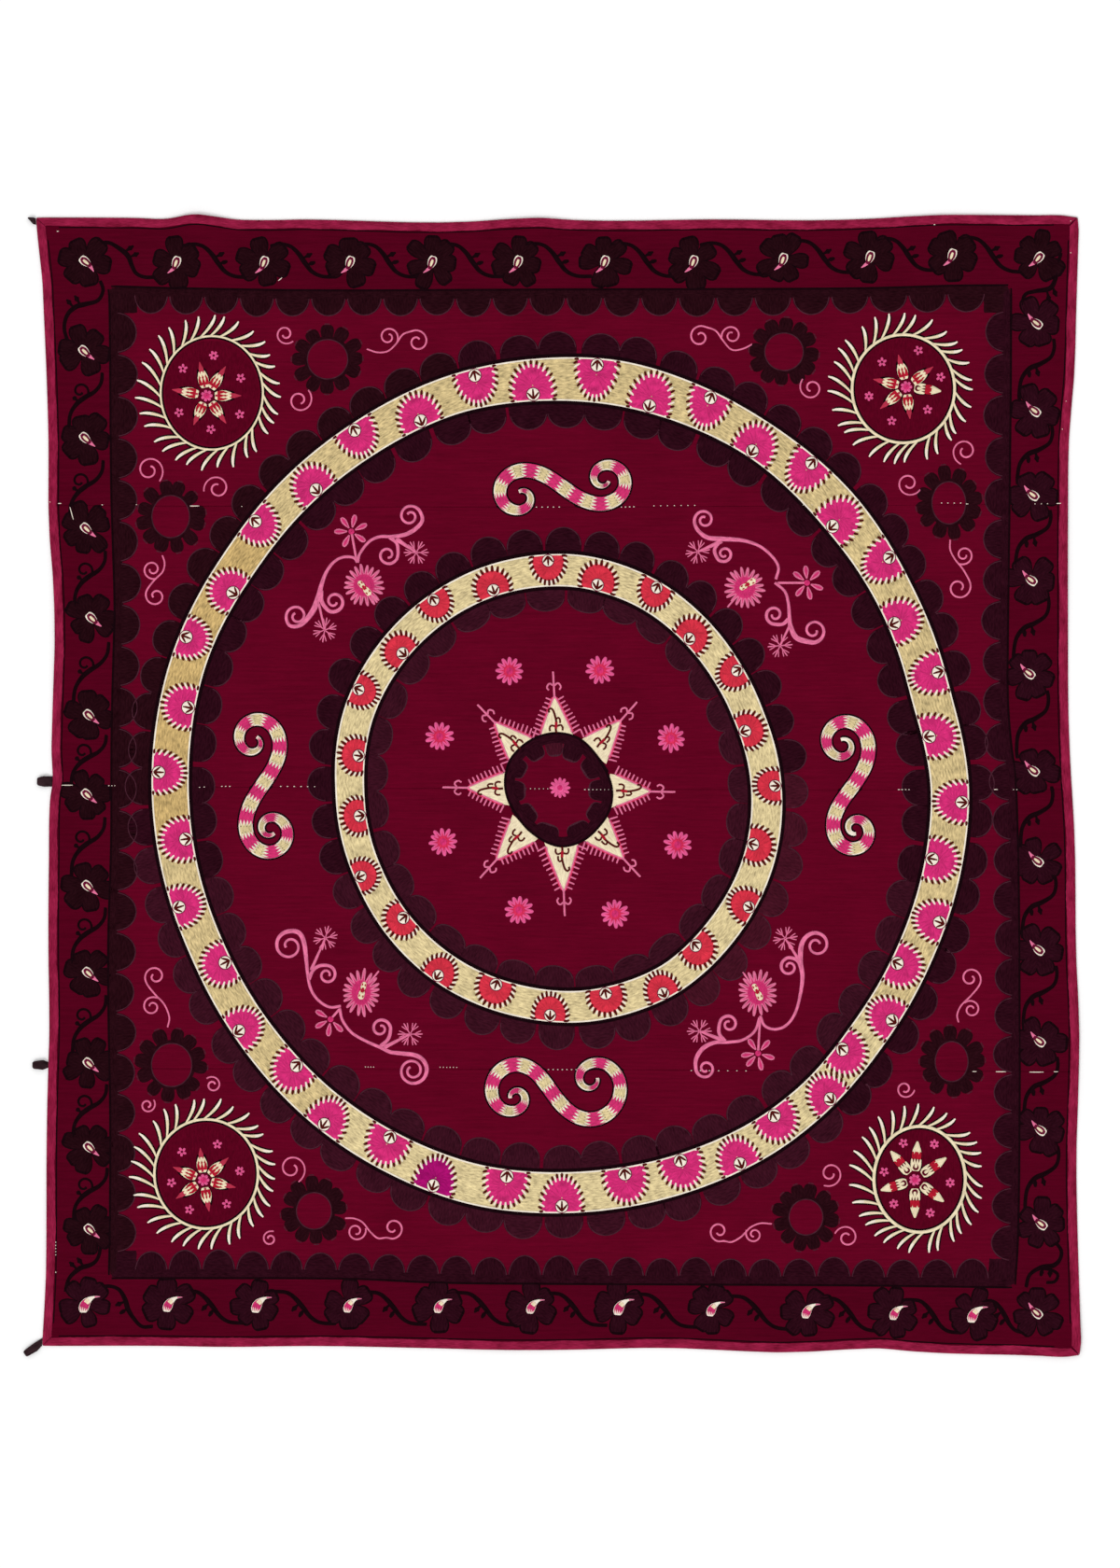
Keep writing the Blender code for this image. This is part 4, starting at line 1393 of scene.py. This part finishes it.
def half_scroll(scroll, heading, length, whole_turn):
    """The middle line of half a scroll, from its middle out to its tip."""
    share = np.linspace(0, 1, 80)
    winding = scroll.winding
    bend = np.interp(share, np.linspace(0, 1, len(winding)), winding) * whole_turn / length
    step = length / (len(share) - 1)
    turn = np.radians(heading + np.cumsum(bend) * step)
    ahead = np.stack([np.cos(turn), -np.sin(turn)], -1) * step
    return np.array([scroll.x, scroll.y]) + np.cumsum(ahead, axis=0)


def stripe(target, path, along, half, start, end, rise):
    """A stripe across a scroll, with both ends toothed into its neighbours."""
    across = np.linspace(-1, 1, 9)
    tooth = np.where(np.arange(9) % 2 == 0, -2.9, 2.9)
    side = across_path(path)
    rows = np.linspace(0, 1, 6)
    flat = []
    for row in rows:
        jag = tooth * (1 if row < 0.5 else -1) * (row in (0.0, 1.0))
        marks = start + (end - start) * row + jag
        place = [np.interp(marks, along, part) for part in (*path.T, *side.T)]
        out = np.interp(marks, along, half) * across
        flat.append(np.stack([place[0] + place[2] * out, place[1] + place[3] * out], -1))
    threads = np.stack(np.broadcast_arrays(across[None] * 7, rows[:, None] * (end - start)), -1)
    target.lay(np.array(flat), rise, threads)


def draw_scroll(scroll):
    """A scroll in cream with toothed pink stripes, pale edges and a black outline."""
    first = half_scroll(scroll, scroll.heading + 180, scroll.first, scroll.first_turn)
    second = half_scroll(scroll, scroll.heading, scroll.second, scroll.second_turn)
    path = even_path(np.concatenate([first[::-1], [(scroll.x, scroll.y)], second]), 2.2)
    along = lengths_along(path)
    from_middle = np.where(along < scroll.first, 1 - along / scroll.first,
                           (along - scroll.first) / scroll.second)
    half = SCROLL_HALF * (1 - 0.82 * np.clip(from_middle, 0, 1) ** 3)
    run(sheet("scrolls", "black"), path, half + 2.8, LOW, CORD)
    run(sheet("scrolls", "white"), path, half + 0.5, HIGH, BAND)
    pitch = STRIPE_PITCH
    count = int(along[-1] // (2 * pitch))
    offset = (along[-1] - count * 2 * pitch) / 2
    for k in range(count + 1):
        middle = offset + 2 * k * pitch
        start = max(middle - 0.46 * pitch, 3.5)
        end = min(middle + 0.46 * pitch, along[-1] - 3.5)
        if end - start > 5:
            stripe(sheet("scrolls", "rose"), path, along, half + 0.2, start, end, HIGH + 0.5)
        start = middle + 0.62 * pitch
        end = min(middle + 1.38 * pitch, along[-1] - 3.5)
        if end - start > 5:
            stripe(sheet("scrolls", "pale"), path, along, half - 0.9, start, end, HIGH + 0.3)


def swelling(count, root, swell, place, tip):
    """Half widths that swell in one place and thin to the tip."""
    t = np.linspace(0, 1, count)
    level = root + (tip - root) * t
    bump = np.exp(-((t - place) / 0.17) ** 2)
    return level + (swell - level) * bump * (swell > level)


def draw_sprays():
    """The four pink sprays of curled stems and flowers between the rings."""
    pink = sheet("sprays", "pink")
    rose = sheet("sprays", "rose")
    for stem in STEMS:
        path = coil(stem.lead, stem.x, stem.y, stem.turns)
        half = swelling(len(path), stem.root, stem.swell, stem.place, stem.tip)
        run(sheet("sprays", "maroon"), path, half * 0.9 + 0.8, LOW, LINE)
        run(pink, path, half * 0.9, HIGH, CORD)
    for flake in FLAKES:
        draw_flake(flake, pink)
    for bloom in BLOOMS:
        draw_bloom(bloom, pink, rose)
    for thistle in THISTLES:
        draw_thistle(thistle, pink, rose)


def draw_flake(flake, pink):
    """A small flower of six forked lines on its foot."""
    foot = even_path([(flake.foot_x, flake.foot_y), (flake.x, flake.y)], 3)
    run(pink, foot, np.linspace(flake.wide, 1.0, len(foot)), HIGH, CORD)
    for arm in range(6):
        frame_of = local(flake.x, flake.y, flake.turn + arm * 60)
        petal(pink, frame_of, 0, 13.8, 0.75, HIGH, (1, 0.9, 0.9, 1.1, 1), LINE)
        for way in (-1, 1):
            prong = even_path([[0, 0], [3.5, way * 2.0], [7.6, way * 3.6]], 2.5)
            run(pink, moved(frame_of, 4.5, 0.0)(prong), 0.62, HIGH, LINE)


def draw_bloom(bloom, pink, rose):
    """An open flower of long petals on its foot."""
    foot = even_path([(bloom.foot_x, bloom.foot_y), (bloom.x, bloom.y)], 3)
    run(pink, foot, 1.3, MIDDLE, CORD)
    disc(rose, local(bloom.x, bloom.y), 3.3, 3.3, HIGH + 0.2, 12)
    for ahead in bloom.petals:
        frame_of = local(bloom.x, bloom.y, ahead)
        petal(pink, frame_of, 4.0, 18.7, 3.1, HIGH, LONG_PETAL)
        petal(rose, frame_of, 6.5, 17, 1.3, HIGH + 0.35, LONG_PETAL, OVER)


def draw_thistle(thistle, pink, rose):
    """A round flower of many narrow petals with two pale hearts and a tail."""
    tail = even_path([(thistle.x, thistle.y), (thistle.tail_x, thistle.tail_y)], 3)
    run(pink, tail, 1.0, MIDDLE, CORD)
    disc(rose, local(thistle.x, thistle.y), thistle.across * 0.56, thistle.up * 0.56, HIGH, 24)
    for k in range(THISTLE_PETALS):
        ahead = 360 * (k + 0.5) / THISTLE_PETALS + chance.normal(0, 1.5)
        turn = math.radians(ahead)
        reach = 1 / math.hypot(math.cos(turn) / thistle.across, math.sin(turn) / thistle.up)
        reach *= chance.uniform(0.93, 1.06)
        frame_of = local(thistle.x, thistle.y, ahead)
        petal(pink, frame_of, reach * 0.36, reach, 2.0, HIGH + 0.1, NARROW_PETAL)
        petal(rose, frame_of, reach * 0.3, reach * 0.8, 0.9, HIGH + 0.4, SPEAR, OVER)
    (x0, y0), (x1, y1) = thistle.hearts
    toward = math.degrees(math.atan2(y0 - y1, x1 - x0))
    middle = local((x0 + x1) / 2, (y0 + y1) / 2, toward)
    red = sheet("sprays", "red")
    ivory = sheet("sprays", "ivory")
    disc(red, middle, 7.5, 3.4, TOP, 16)
    for place, way, size in ((6.2, 1, 4.4), (-6.2, -1, 3.6)):
        disc(ivory, moved(middle, place, 0.0), size, size * 0.85, TOP + 0.2, 12)
        for aside in (-0.5, 0.5):
            at_tooth = moved(middle, place - way * size * 0.4, aside * size)
            petal(ivory, at_tooth, 0, -way * 4.0, 1.1, TOP + 0.5, SPEAR, OVER)
            at_dot = moved(middle, place, aside * size * 0.9)
            petal(red, at_dot, -1.2, 1.4, 0.8, TOP + 0.5, TOOTH, OVER)


def draw_curls():
    """The thin pink curls that float between the larger motifs."""
    pink = sheet("curls", "pink")
    for curl in CURLS:
        path = coil(((curl.x, curl.y),), curl.eye_x, curl.eye_y, curl.way * 1.35, 0.8)
        run(pink, path, np.linspace(0.84, 1.06, len(path)), MIDDLE, CORD)
    for pair in PAIRS:
        path = coil(pair.line, pair.eye_x, pair.eye_y, pair.way * 1.25, 0.85)
        run(pink, path, np.linspace(0.88, 1.06, len(path)), MIDDLE, CORD)
        branch = ((pair.branch_x, pair.branch_y),)
        path = coil(branch, pair.second_x, pair.second_y, pair.second_way * 1.35, 0.85)
        run(pink, path, 0.97, MIDDLE, CORD)


# Wreaths, rosettes and the star

def draw_wreath(group, wreath):
    """A ring of curved leaves round a six-petalled flower and six small ones."""
    disc(sheet(group, "plum"), local(wreath.x, wreath.y), wreath.across - 2, wreath.up - 2, 0.12, 40)
    ring = oval_path(wreath.x, wreath.y, wreath.across - wreath.ring, wreath.up - wreath.ring, 96)
    run(sheet(group, "black"), ring, wreath.ring + 2, LOW, CORD, True)
    run(sheet(group, "ivory"), ring, wreath.ring, HIGH, CORD, True)
    width = np.array(LEAF)
    for k in range(WREATH_LEAVES):
        base = 360 * k / WREATH_LEAVES + chance.normal(0, 1.0)
        sweep = 15 + chance.normal(0, 1.6)
        reach = 22.5 + 3.5 * math.cos(math.radians(base - 185)) + chance.normal(0, 1.0)
        t = np.linspace(0, 1, len(width))
        turn = np.radians(base - sweep * (1 - (1 - t) ** 1.7))
        out = reach * t ** 1.35 - 1.5
        x = wreath.x + (wreath.across + out) * np.cos(turn)
        y = wreath.y - (wreath.up + out) * np.sin(turn)
        path = np.stack([x, y], -1)
        run(sheet(group, "black"), path[1:], width[1:] + 1.9, LOW - 0.1, LINE)
        run(sheet(group, "ivory"), path, width, HIGH, CORD)
        run(sheet(group, "white"), path[5:], width[5:] * 0.75, HIGH + 0.4, OVER)
    for ahead in wreath.petals:
        frame_of = local(wreath.flower_x, wreath.flower_y, ahead)
        size = wreath.reach * chance.uniform(0.95, 1.05) / 41
        layers = BANDED_PETAL if ahead in wreath.banded else POINTED_PETAL
        draw_layers(group, lengthened(frame_of, size), layers)
    disc(sheet(group, "rose"), local(wreath.flower_x, wreath.flower_y), 3.6, 3.4, HIGH, 14)
    for arm in range(7):
        frame_of = local(wreath.flower_x, wreath.flower_y, arm * 360 / 7)
        petal(sheet(group, "candy"), frame_of, 2.2, 6.4, 1.8, HIGH)
    for sprig in wreath.sprigs:
        first = chance.uniform(0, 72)
        arms = chance.choice((5, 6))
        for arm in range(arms):
            frame_of = local(*sprig, first + 360 * arm / arms)
            petal(sheet(group, "candy"), frame_of, 0.8, 5.5, 1.5, MIDDLE, TOOTH)


def draw_layers(group, frame_of, layers, curved=0):
    """A petal or drop built up of layers in several threads."""
    for layer in layers:
        for aside in layer.asides:
            petal(sheet(group, layer.thread), moved(frame_of, 0.0, aside), layer.start, layer.end,
                  layer.half, layer.rise, layer.shape, layer.section, curved * layer.bend)


def draw_rosettes():
    """The eight dark rosettes that stand between the outer ring and the border."""
    for k, (x, y, across, up) in enumerate(ROSETTES):
        group = f"rosette_{k + 1}"
        dark = sheet(group, "soot")
        for arm in range(ROSETTE_PETALS):
            ahead = 13 * k + 360 * arm / ROSETTE_PETALS + chance.normal(0, 2.0)
            turn = math.radians(ahead)
            hole = 1 / math.hypot(math.cos(turn) / across, math.sin(turn) / up)
            reach = hole + 17.5 + chance.normal(0, 1.0)
            wide = 7.7 * chance.uniform(0.9, 1.06)
            frame_of = local(x, y, ahead)
            petal(dark, frame_of, hole - 0.5, reach, wide, LOW, ROSETTE_PETAL, BAND)
            # Paler tips painted on as a highlight
            rim = sheet(group, "slate")
            petal(rim, frame_of, reach - 0.5, reach + 0.9, wide * 0.5, LOW - 0.1, TOOTH, LINE)
        run(dark, oval_path(x, y, across + 2, up + 2, 60), 2.0, LOW + 0.15, CORD, True)
        # A paler ring painted as a highlight along the petals' inner rim
        run(sheet(group, "slate"), oval_path(x, y, across + 0.2, up + 0.2, 60), 0.7, LOW + 0.3, LINE, True)


def draw_star():
    """The star at the middle of the cloth."""
    cx, cy = STAR
    dark = sheet("star", "aubergine")
    rose = sheet("star", "raspberry")
    candy = sheet("star", "candy")
    for x, y in STAR_TIPS:
        ahead = math.degrees(math.atan2(cy - y, x - cx))
        draw_star_point(local(cx, cy, ahead), math.hypot(x - cx, y - cy))
    draw_star_ring(dark)
    disc(candy, local(*STAR_HEART), 5.5, 5.5, HIGH, 16)
    for arm in range(STAR_ROSETTE_PETALS):
        petal(candy, local(*STAR_HEART, 30 * arm), 3, 11.2, 1.8, HIGH)
    disc(sheet("star", "rose"), local(*STAR_HEART), 3.2, 3.2, TOP, 12)
    for k, (x, y) in enumerate(STAR_ROSETTES):
        disc(rose, local(x, y), 7, 7, HIGH, 20)
        for arm in range(STAR_ROSETTE_PETALS):
            frame_of = local(x, y, 30 * arm + 9 * k + chance.normal(0, 2))
            petal(candy, frame_of, 5, 15.4 * chance.uniform(0.95, 1.04), 2.4, HIGH + 0.1)
            petal(rose, frame_of, 5, 11, 0.8, HIGH + 0.45, SPEAR, OVER)
        disc(sheet("star", "rose"), local(x, y), 4.2, 4.2, TOP, 12)


def draw_star_ring(dark):
    """The dark ring in the middle of the star, with lobes that point inwards."""
    inner, outer = ring_edges(STAR_RING)
    corners = 90
    angles = np.linspace(0, 360, corners, endpoint=False)
    half = (outer(angles) - inner(angles)) / 2
    band = ring_path(STAR_RING, lambda a: (inner(a) + outer(a)) / 2, corners)
    run(dark, band, half, HIGH, BAND, True)
    outline = ring_path(STAR_RING, lambda a: outer(a) - 0.8, corners)
    run(sheet("star", "black"), outline, 1.3, HIGH + 0.2, OVER, True)
    for k, (ahead, tip) in enumerate(STAR_LOBES):
        before = STAR_LOBES[k - 1][0]
        after = STAR_LOBES[(k + 1) % len(STAR_LOBES)][0]
        wide = math.radians((after - before) % 360) * 10.4
        frame_of = local(*STAR, ahead)
        # A paler rim painted as a highlight round each lobe
        petal(sheet("star", "slate"), frame_of, 56, tip - 1.3, wide + 1.1, LOW - 0.15, THUMB)
        petal(sheet("star", "mulberry") if k == 0 else dark, frame_of, 56, tip, wide, LOW, THUMB, BAND)


def draw_star_point(frame_of, reach):
    """One cream point of the star with its spiked pink edge, hooked motif and whisker."""
    pink = sheet("star", "pink")
    brown = sheet("star", "umber")
    base = STAR_RADIUS - 6
    t = np.linspace(0, 1, 9)
    out = base + (reach - base) * t
    half = STAR_POINT_HALF * (1 - t) ** STAR_POINT_CURVE
    run(sheet("star", "ivory"), frame_of(np.stack([out, np.zeros(9)], -1)), half, MIDDLE, BAND)
    for way in (-1, 1):
        edging = np.stack([out, way * (half + 1.4)], -1)[1:]
        edging[0] = (STAR_RADIUS + 2, way * (STAR_POINT_HALF * 0.83 + 1))
        run(sheet("star", "raspberry"), frame_of(edging), 1.2, HIGH - 0.5)
        edging[:, 1] -= way
        run(pink, frame_of(edging), 0.75, HIGH, OVER)
        draw_spikes(pink, frame_of, base, reach, way)
    whisker = np.stack([np.linspace(reach - 3, reach + 27, 9), np.zeros(9)], -1)
    run(pink, frame_of(whisker), 1.1, HIGH)
    for way in (-1, 1):
        hook = [(reach + 11, 0), (reach + 14, way * 4.5), (reach + 10, way * 7.5), (reach + 6.5, way * 5.5)]
        run(pink, frame_of(smooth_path(hook, 1.6)), 1.0, HIGH)
    draw_hooked_motif(brown, moved(frame_of, base + 8, 0.0))


def draw_spikes(pink, frame_of, base, reach, way):
    """The spikes along one edge of a star's point."""
    lean = math.radians(SPIKE_LEAN)
    for k in range(SPIKES):
        share = (k + 1.5) / (SPIKES + 1.5)
        x = base + (reach - base) * share
        y = way * STAR_POINT_HALF * (1 - share) ** STAR_POINT_CURVE
        length = SPIKE_LENGTH * (1 - 0.25 * share) * chance.uniform(0.9, 1.1)
        spike = [(x, y), (x + length * math.cos(lean), y + way * length * math.sin(lean))]
        path = even_path(spike, 2.7)
        run(pink, frame_of(path), np.linspace(1.05, 0.8, len(path)), HIGH - 0.1)


def draw_hooked_motif(brown, motif):
    """The thin brown stem with hooks that lies on a star's point."""
    stem = [(0, 0), (5, 0.4), (12, -0.5), (19, 0.6), (24.5, 2.2), (27, 4.6), (25.5, 7.0), (22.5, 6.6)]
    run(brown, motif(smooth_path(stem, 1.8)), 1.1, TOP, OVER)
    run(sheet("star", "red"), motif(smooth_path(stem[1:3], 1.8)), 1.4, TOP + 0.2, OVER)
    for place, size, way in ((7, 7.0, 1), (7, 7.0, -1), (15, 4.6, -1)):
        hook = [(place, 0), (place + 1.6, way * size * 0.7), (place - 1.2, way * size),
                (place - 4.4, way * size * 0.95)]
        run(brown, motif(smooth_path(hook, 1.6)), 1.0, TOP, OVER)


# The border

def draw_drop(x, y, head, curved, paisley, thread):
    """A dark flower with a pale drop in its middle, whose head points so many degrees round."""
    count = chance.choice((6, 7))
    for arm in range(count):
        ahead = head + 360 * (arm + 0.5) / count + chance.normal(0, 6)
        reach = 27.5 + chance.normal(0, 1.8)
        wide = (61 / count) * chance.uniform(0.88, 1.06)
        frame_of = local(x, y, ahead)
        petal(sheet("border", "black"), frame_of, 4, reach + 1.0, wide + 1.0, LOW - 0.1, BORDER_PETAL, BAND)
        petal(sheet("border", thread), frame_of, 4, reach - 0.3, wide - 0.4, LOW, BORDER_PETAL, BAND)
    if paisley:
        draw_paisley(local(x, y))
        return
    draw_layers("border", local(x, y, head), DROP_LAYERS, curved)


def draw_paisley(frame_of):
    """A pale drop with a toothed pink band round its middle and a tail that bends to the right."""
    line = smooth_path([(-1.5, -10), (-1, -5.5), (0.5, -1), (3.5, 3.2), (8, 6.5), (12, 7.8), (17, 8)], 1.5)
    size = chance.uniform(0.84, 1.0)
    line = line * size
    along = lengths_along(line)
    share = along / along[-1]
    half = np.interp(share, *zip(*PAISLEY_WIDTHS)) * size
    path = frame_of(line)
    run(sheet("border", "black"), path, half + 1.7, LOW + 0.2, CORD)
    run(sheet("border", "white"), path, half, MIDDLE, BAND)
    stripe(sheet("border", "rose"), path, along, half * 0.86, 4.8 * size, 13.8 * size, HIGH)
    run(sheet("border", "ivory"), path[8:12], half[8:12] * 0.55, HIGH + 0.2, OVER)
    run(sheet("border", "pink"), path[-5:], half[-5:] * 0.8, HIGH, OVER)


def draw_vine(points, way, curled):
    """A length of dark vine with leaves beside its middle, or a small curl and a leaf."""
    black = sheet("border", "black")
    path = smooth_path(points, 3.0)
    run(black, path, swelling(len(path), 2.1, 3.0, 0.5, 2.2), LOW)
    k = len(path) // 2
    side = across_path(path)[k] * way
    ahead = path[k] - path[k - 2]
    ahead /= max(np.hypot(*ahead), 1e-6)
    leaves = ((0.75, 11, 5),) if curled else ((0.85, 15, -4), (0.7, 15, 4))
    for lean, reach, start in leaves:
        foot = path[k] + ahead * start
        tip = foot + side * reach * lean + ahead * reach * (1 - lean) * 0.8
        leaf = even_path([foot, tip], 2.5)
        run(black, leaf, swelling(len(leaf), 1.4, 3.2, 0.6, 1.0), LOW)
    if curled:
        eye = path[k] + side * 8.5 - ahead * 3
        run(black, coil((path[k] + ahead * 3,), eye[0], eye[1], -1.2 * way), 1.5, LOW, LINE)


def draw_vines(places, template, upright, way, curled):
    """The vines between a side's drops."""
    for (x0, y0), (x1, y1) in zip(places[:-1], places[1:]):
        points = []
        for share, off in template:
            x = x0 + (x1 - x0) * share
            y = y0 + (y1 - y0) * share
            points.append((x + off, y) if upright else (x, y + off))
        draw_vine(points, way, curled)


def draw_border():
    """The drops, vines and scalloped line of the border."""
    draw_vines((*TOP_DROPS, CORNER_DROPS[1]), TOP_VINE, False, 1, False)
    draw_vines((*BOTTOM_DROPS, CORNER_DROPS[3]), BOTTOM_VINE, False, -1, False)
    draw_vines(LEFT_DROPS, LEFT_VINE, True, -1, True)
    draw_vines(RIGHT_DROPS, RIGHT_VINE, True, 1, False)
    for points, way in zip(CORNER_VINES, CORNER_WAYS):
        draw_vine(points, way, False)
    run(sheet("border", "black"), smooth_path(CORNER_CURL), 1.9, LOW)
    for drops, head, curved, paisley, thread in (
        (TOP_DROPS, 70, 4, False, "dusk"), (BOTTOM_DROPS, 0, 0, True, "aubergine"),
        (LEFT_DROPS, 135, -1, False, "dusk"), (RIGHT_DROPS, -38, 2, False, "aubergine"),
        (CORNER_DROPS[:1], 140, 2, False, "dusk"), (CORNER_DROPS[1:2], 50, 2, False, "dusk"),
        (CORNER_DROPS[2:3], 0, 0, True, "aubergine"), (CORNER_DROPS[3:], -42, 2, False, "aubergine"),
    ):
        for spot in drops:
            draw_drop(*spot, head, curved, paisley, thread)
    for hem in HEMS:
        draw_hem(hem)


def path_frame(path):
    """A frame whose first axis runs along a path, and whose second points to the left of it."""
    along = lengths_along(path)
    side = across_path(path)

    def to_photo(points):
        points = np.asarray(points, float)
        x, y, side_x, side_y = (np.interp(points[..., 0], along, part) for part in (*path.T, *side.T))
        return np.stack([x + side_x * points[..., 1], y + side_y * points[..., 1]], -1)

    return to_photo, along[-1]


def draw_hem(hem):
    """A dark band along the border's inner line, with lobes that point into the cloth."""
    frame_of, span = path_frame(smooth_path(hem.line, 8.0))
    room = span - 2 * HEM_CORNER
    pitches = np.linspace(hem.first, hem.last, round(room / ((hem.first + hem.last) / 2)))
    pitches *= room / pitches.sum()
    place = HEM_CORNER
    for pitch in pitches:
        depth = hem.depth * chance.uniform(0.94, 1.05)
        lobe("hem", hem.thread, moved(frame_of, place + pitch / 2, 0.0), pitch * 0.99, depth, hem.side_depth)
        place += pitch
    for thread, reach, count, aside, half, rise, section in (
        (hem.thread, HEM_CORNER + 4, 5, 14.0, 14.5, LOW, BAND),
        (hem.thread, span, 120, 4.0, 4.6, LOW + 0.1, CORD),
        ("black", span, 120, -1.4, 1.2, LOW + 0.25, LINE),
    ):
        line = np.stack([np.linspace(0, reach, count), np.full(count, aside)], -1)
        run(sheet("hem", thread), frame_of(line), half, rise, section)


def draw_tape_shadow_line():
    """A dark line in the cloth along the inner edge of the tape: a painted shadow of the tape's edge, which
    also stands for the row of stitches there.
    """
    inset = TAPE_SHADOW_INSET
    y = np.linspace(*OUTLINE["left"][0][[4, -5]], 260)
    x = np.linspace(*OUTLINE["top"][0][[4, -5]], 260)
    for line_x, line_y in (
        (edge("left", y) + inset, y), (edge("right", y) - inset, y),
        (x, edge("top", x) - inset), (x, edge("bottom", x) + inset),
    ):
        path = np.stack([line_x / PX + MIDDLE_X, MIDDLE_Y - line_y / PX], -1)
        run(sheet("tape_line", "black"), path, 0.8, 0.25, LINE)


def draw_tacking():
    """White tacking along the seams and on the bindings."""
    for dashes, rise in ((TACKING, TOP), (BINDING_TACKING, ON_BINDING)):
        for row in dashes:
            length = math.hypot(row.to_x - row.x, row.to_y - row.y)
            toward = math.degrees(math.atan2(row.y - row.to_y, row.to_x - row.x))
            frame_of = local(row.x, row.y, toward)
            room = max(length - row.size, 0)
            for k in range(row.count):
                start = room * k / max(row.count - 1, 1)
                petal(sheet("tacking", "white"), frame_of, start, start + row.size, 0.5, rise, TOOTH, LINE)


# The studio

def build_studio():
    """A pale floor, soft light from all round and a camera straight above."""
    world = bpy.data.worlds.new("studio")
    bpy.context.scene.world = world
    world.use_nodes = True
    world.node_tree.nodes["Background"].inputs["Color"].default_value = (1, 1, 1, 1)
    world.node_tree.nodes["Background"].inputs["Strength"].default_value = SKY_STRENGTH
    key = bpy.data.lights.new("key", "SUN")
    key.energy = SUN_STRENGTH
    key.angle = math.radians(SUN_SPREAD)
    key_object = bpy.data.objects.new("key", key)
    key_object.rotation_euler = [math.radians(tilt) for tilt in SUN_TILT]
    bpy.context.scene.collection.objects.link(key_object)
    camera = bpy.data.cameras.new("camera")
    camera.lens = LENS
    camera.sensor_width = SENSOR
    camera_object = bpy.data.objects.new("camera", camera)
    x, y = photo_to_cloth(PHOTO_CENTRE)
    height = PHOTO_HEIGHT * PX * LENS / SENSOR
    camera_object.location = (float(x), float(y), height)
    bpy.context.scene.collection.objects.link(camera_object)
    bpy.context.scene.camera = camera_object
    bpy.context.scene.view_settings.view_transform = "Standard"
    bpy.ops.mesh.primitive_plane_add(size=FLOOR_SIZE, location=(0, 0, -FLOOR_DROP))
    floor = bpy.context.object
    floor.name = "floor"
    floor.data.materials.append(floor_finish())


def main():
    """Build the dressed textile and its studio."""
    build_studio()
    ground = cloth_finish()
    for index in range(len(SEAMS) + 1):
        build_panel(index, ground)
    build_bindings()
    build_loops()
    draw_ring("outer_ring", OUTER_RING, OUTER_ARCS, OUTER_FANS, OUTER_LOOK, OUTER_LOBES)
    draw_ring("inner_ring", INNER_RING, INNER_ARCS, INNER_FANS, INNER_LOOK, INNER_LOBES)
    for scroll in SCROLLS:
        draw_scroll(scroll)
    draw_sprays()
    draw_curls()
    for k, wreath in enumerate(WREATHS):
        draw_wreath(f"wreath_{k + 1}", wreath)
    draw_rosettes()
    draw_star()
    draw_border()
    draw_tape_shadow_line()
    draw_tacking()
    finishes = {name: thread_finish(name + "_floss", thread) for name, thread in THREADS.items()}
    for (group, thread), stitches in WORK.items():
        stitches.build(f"{group}_{thread}", finishes[thread])


main()
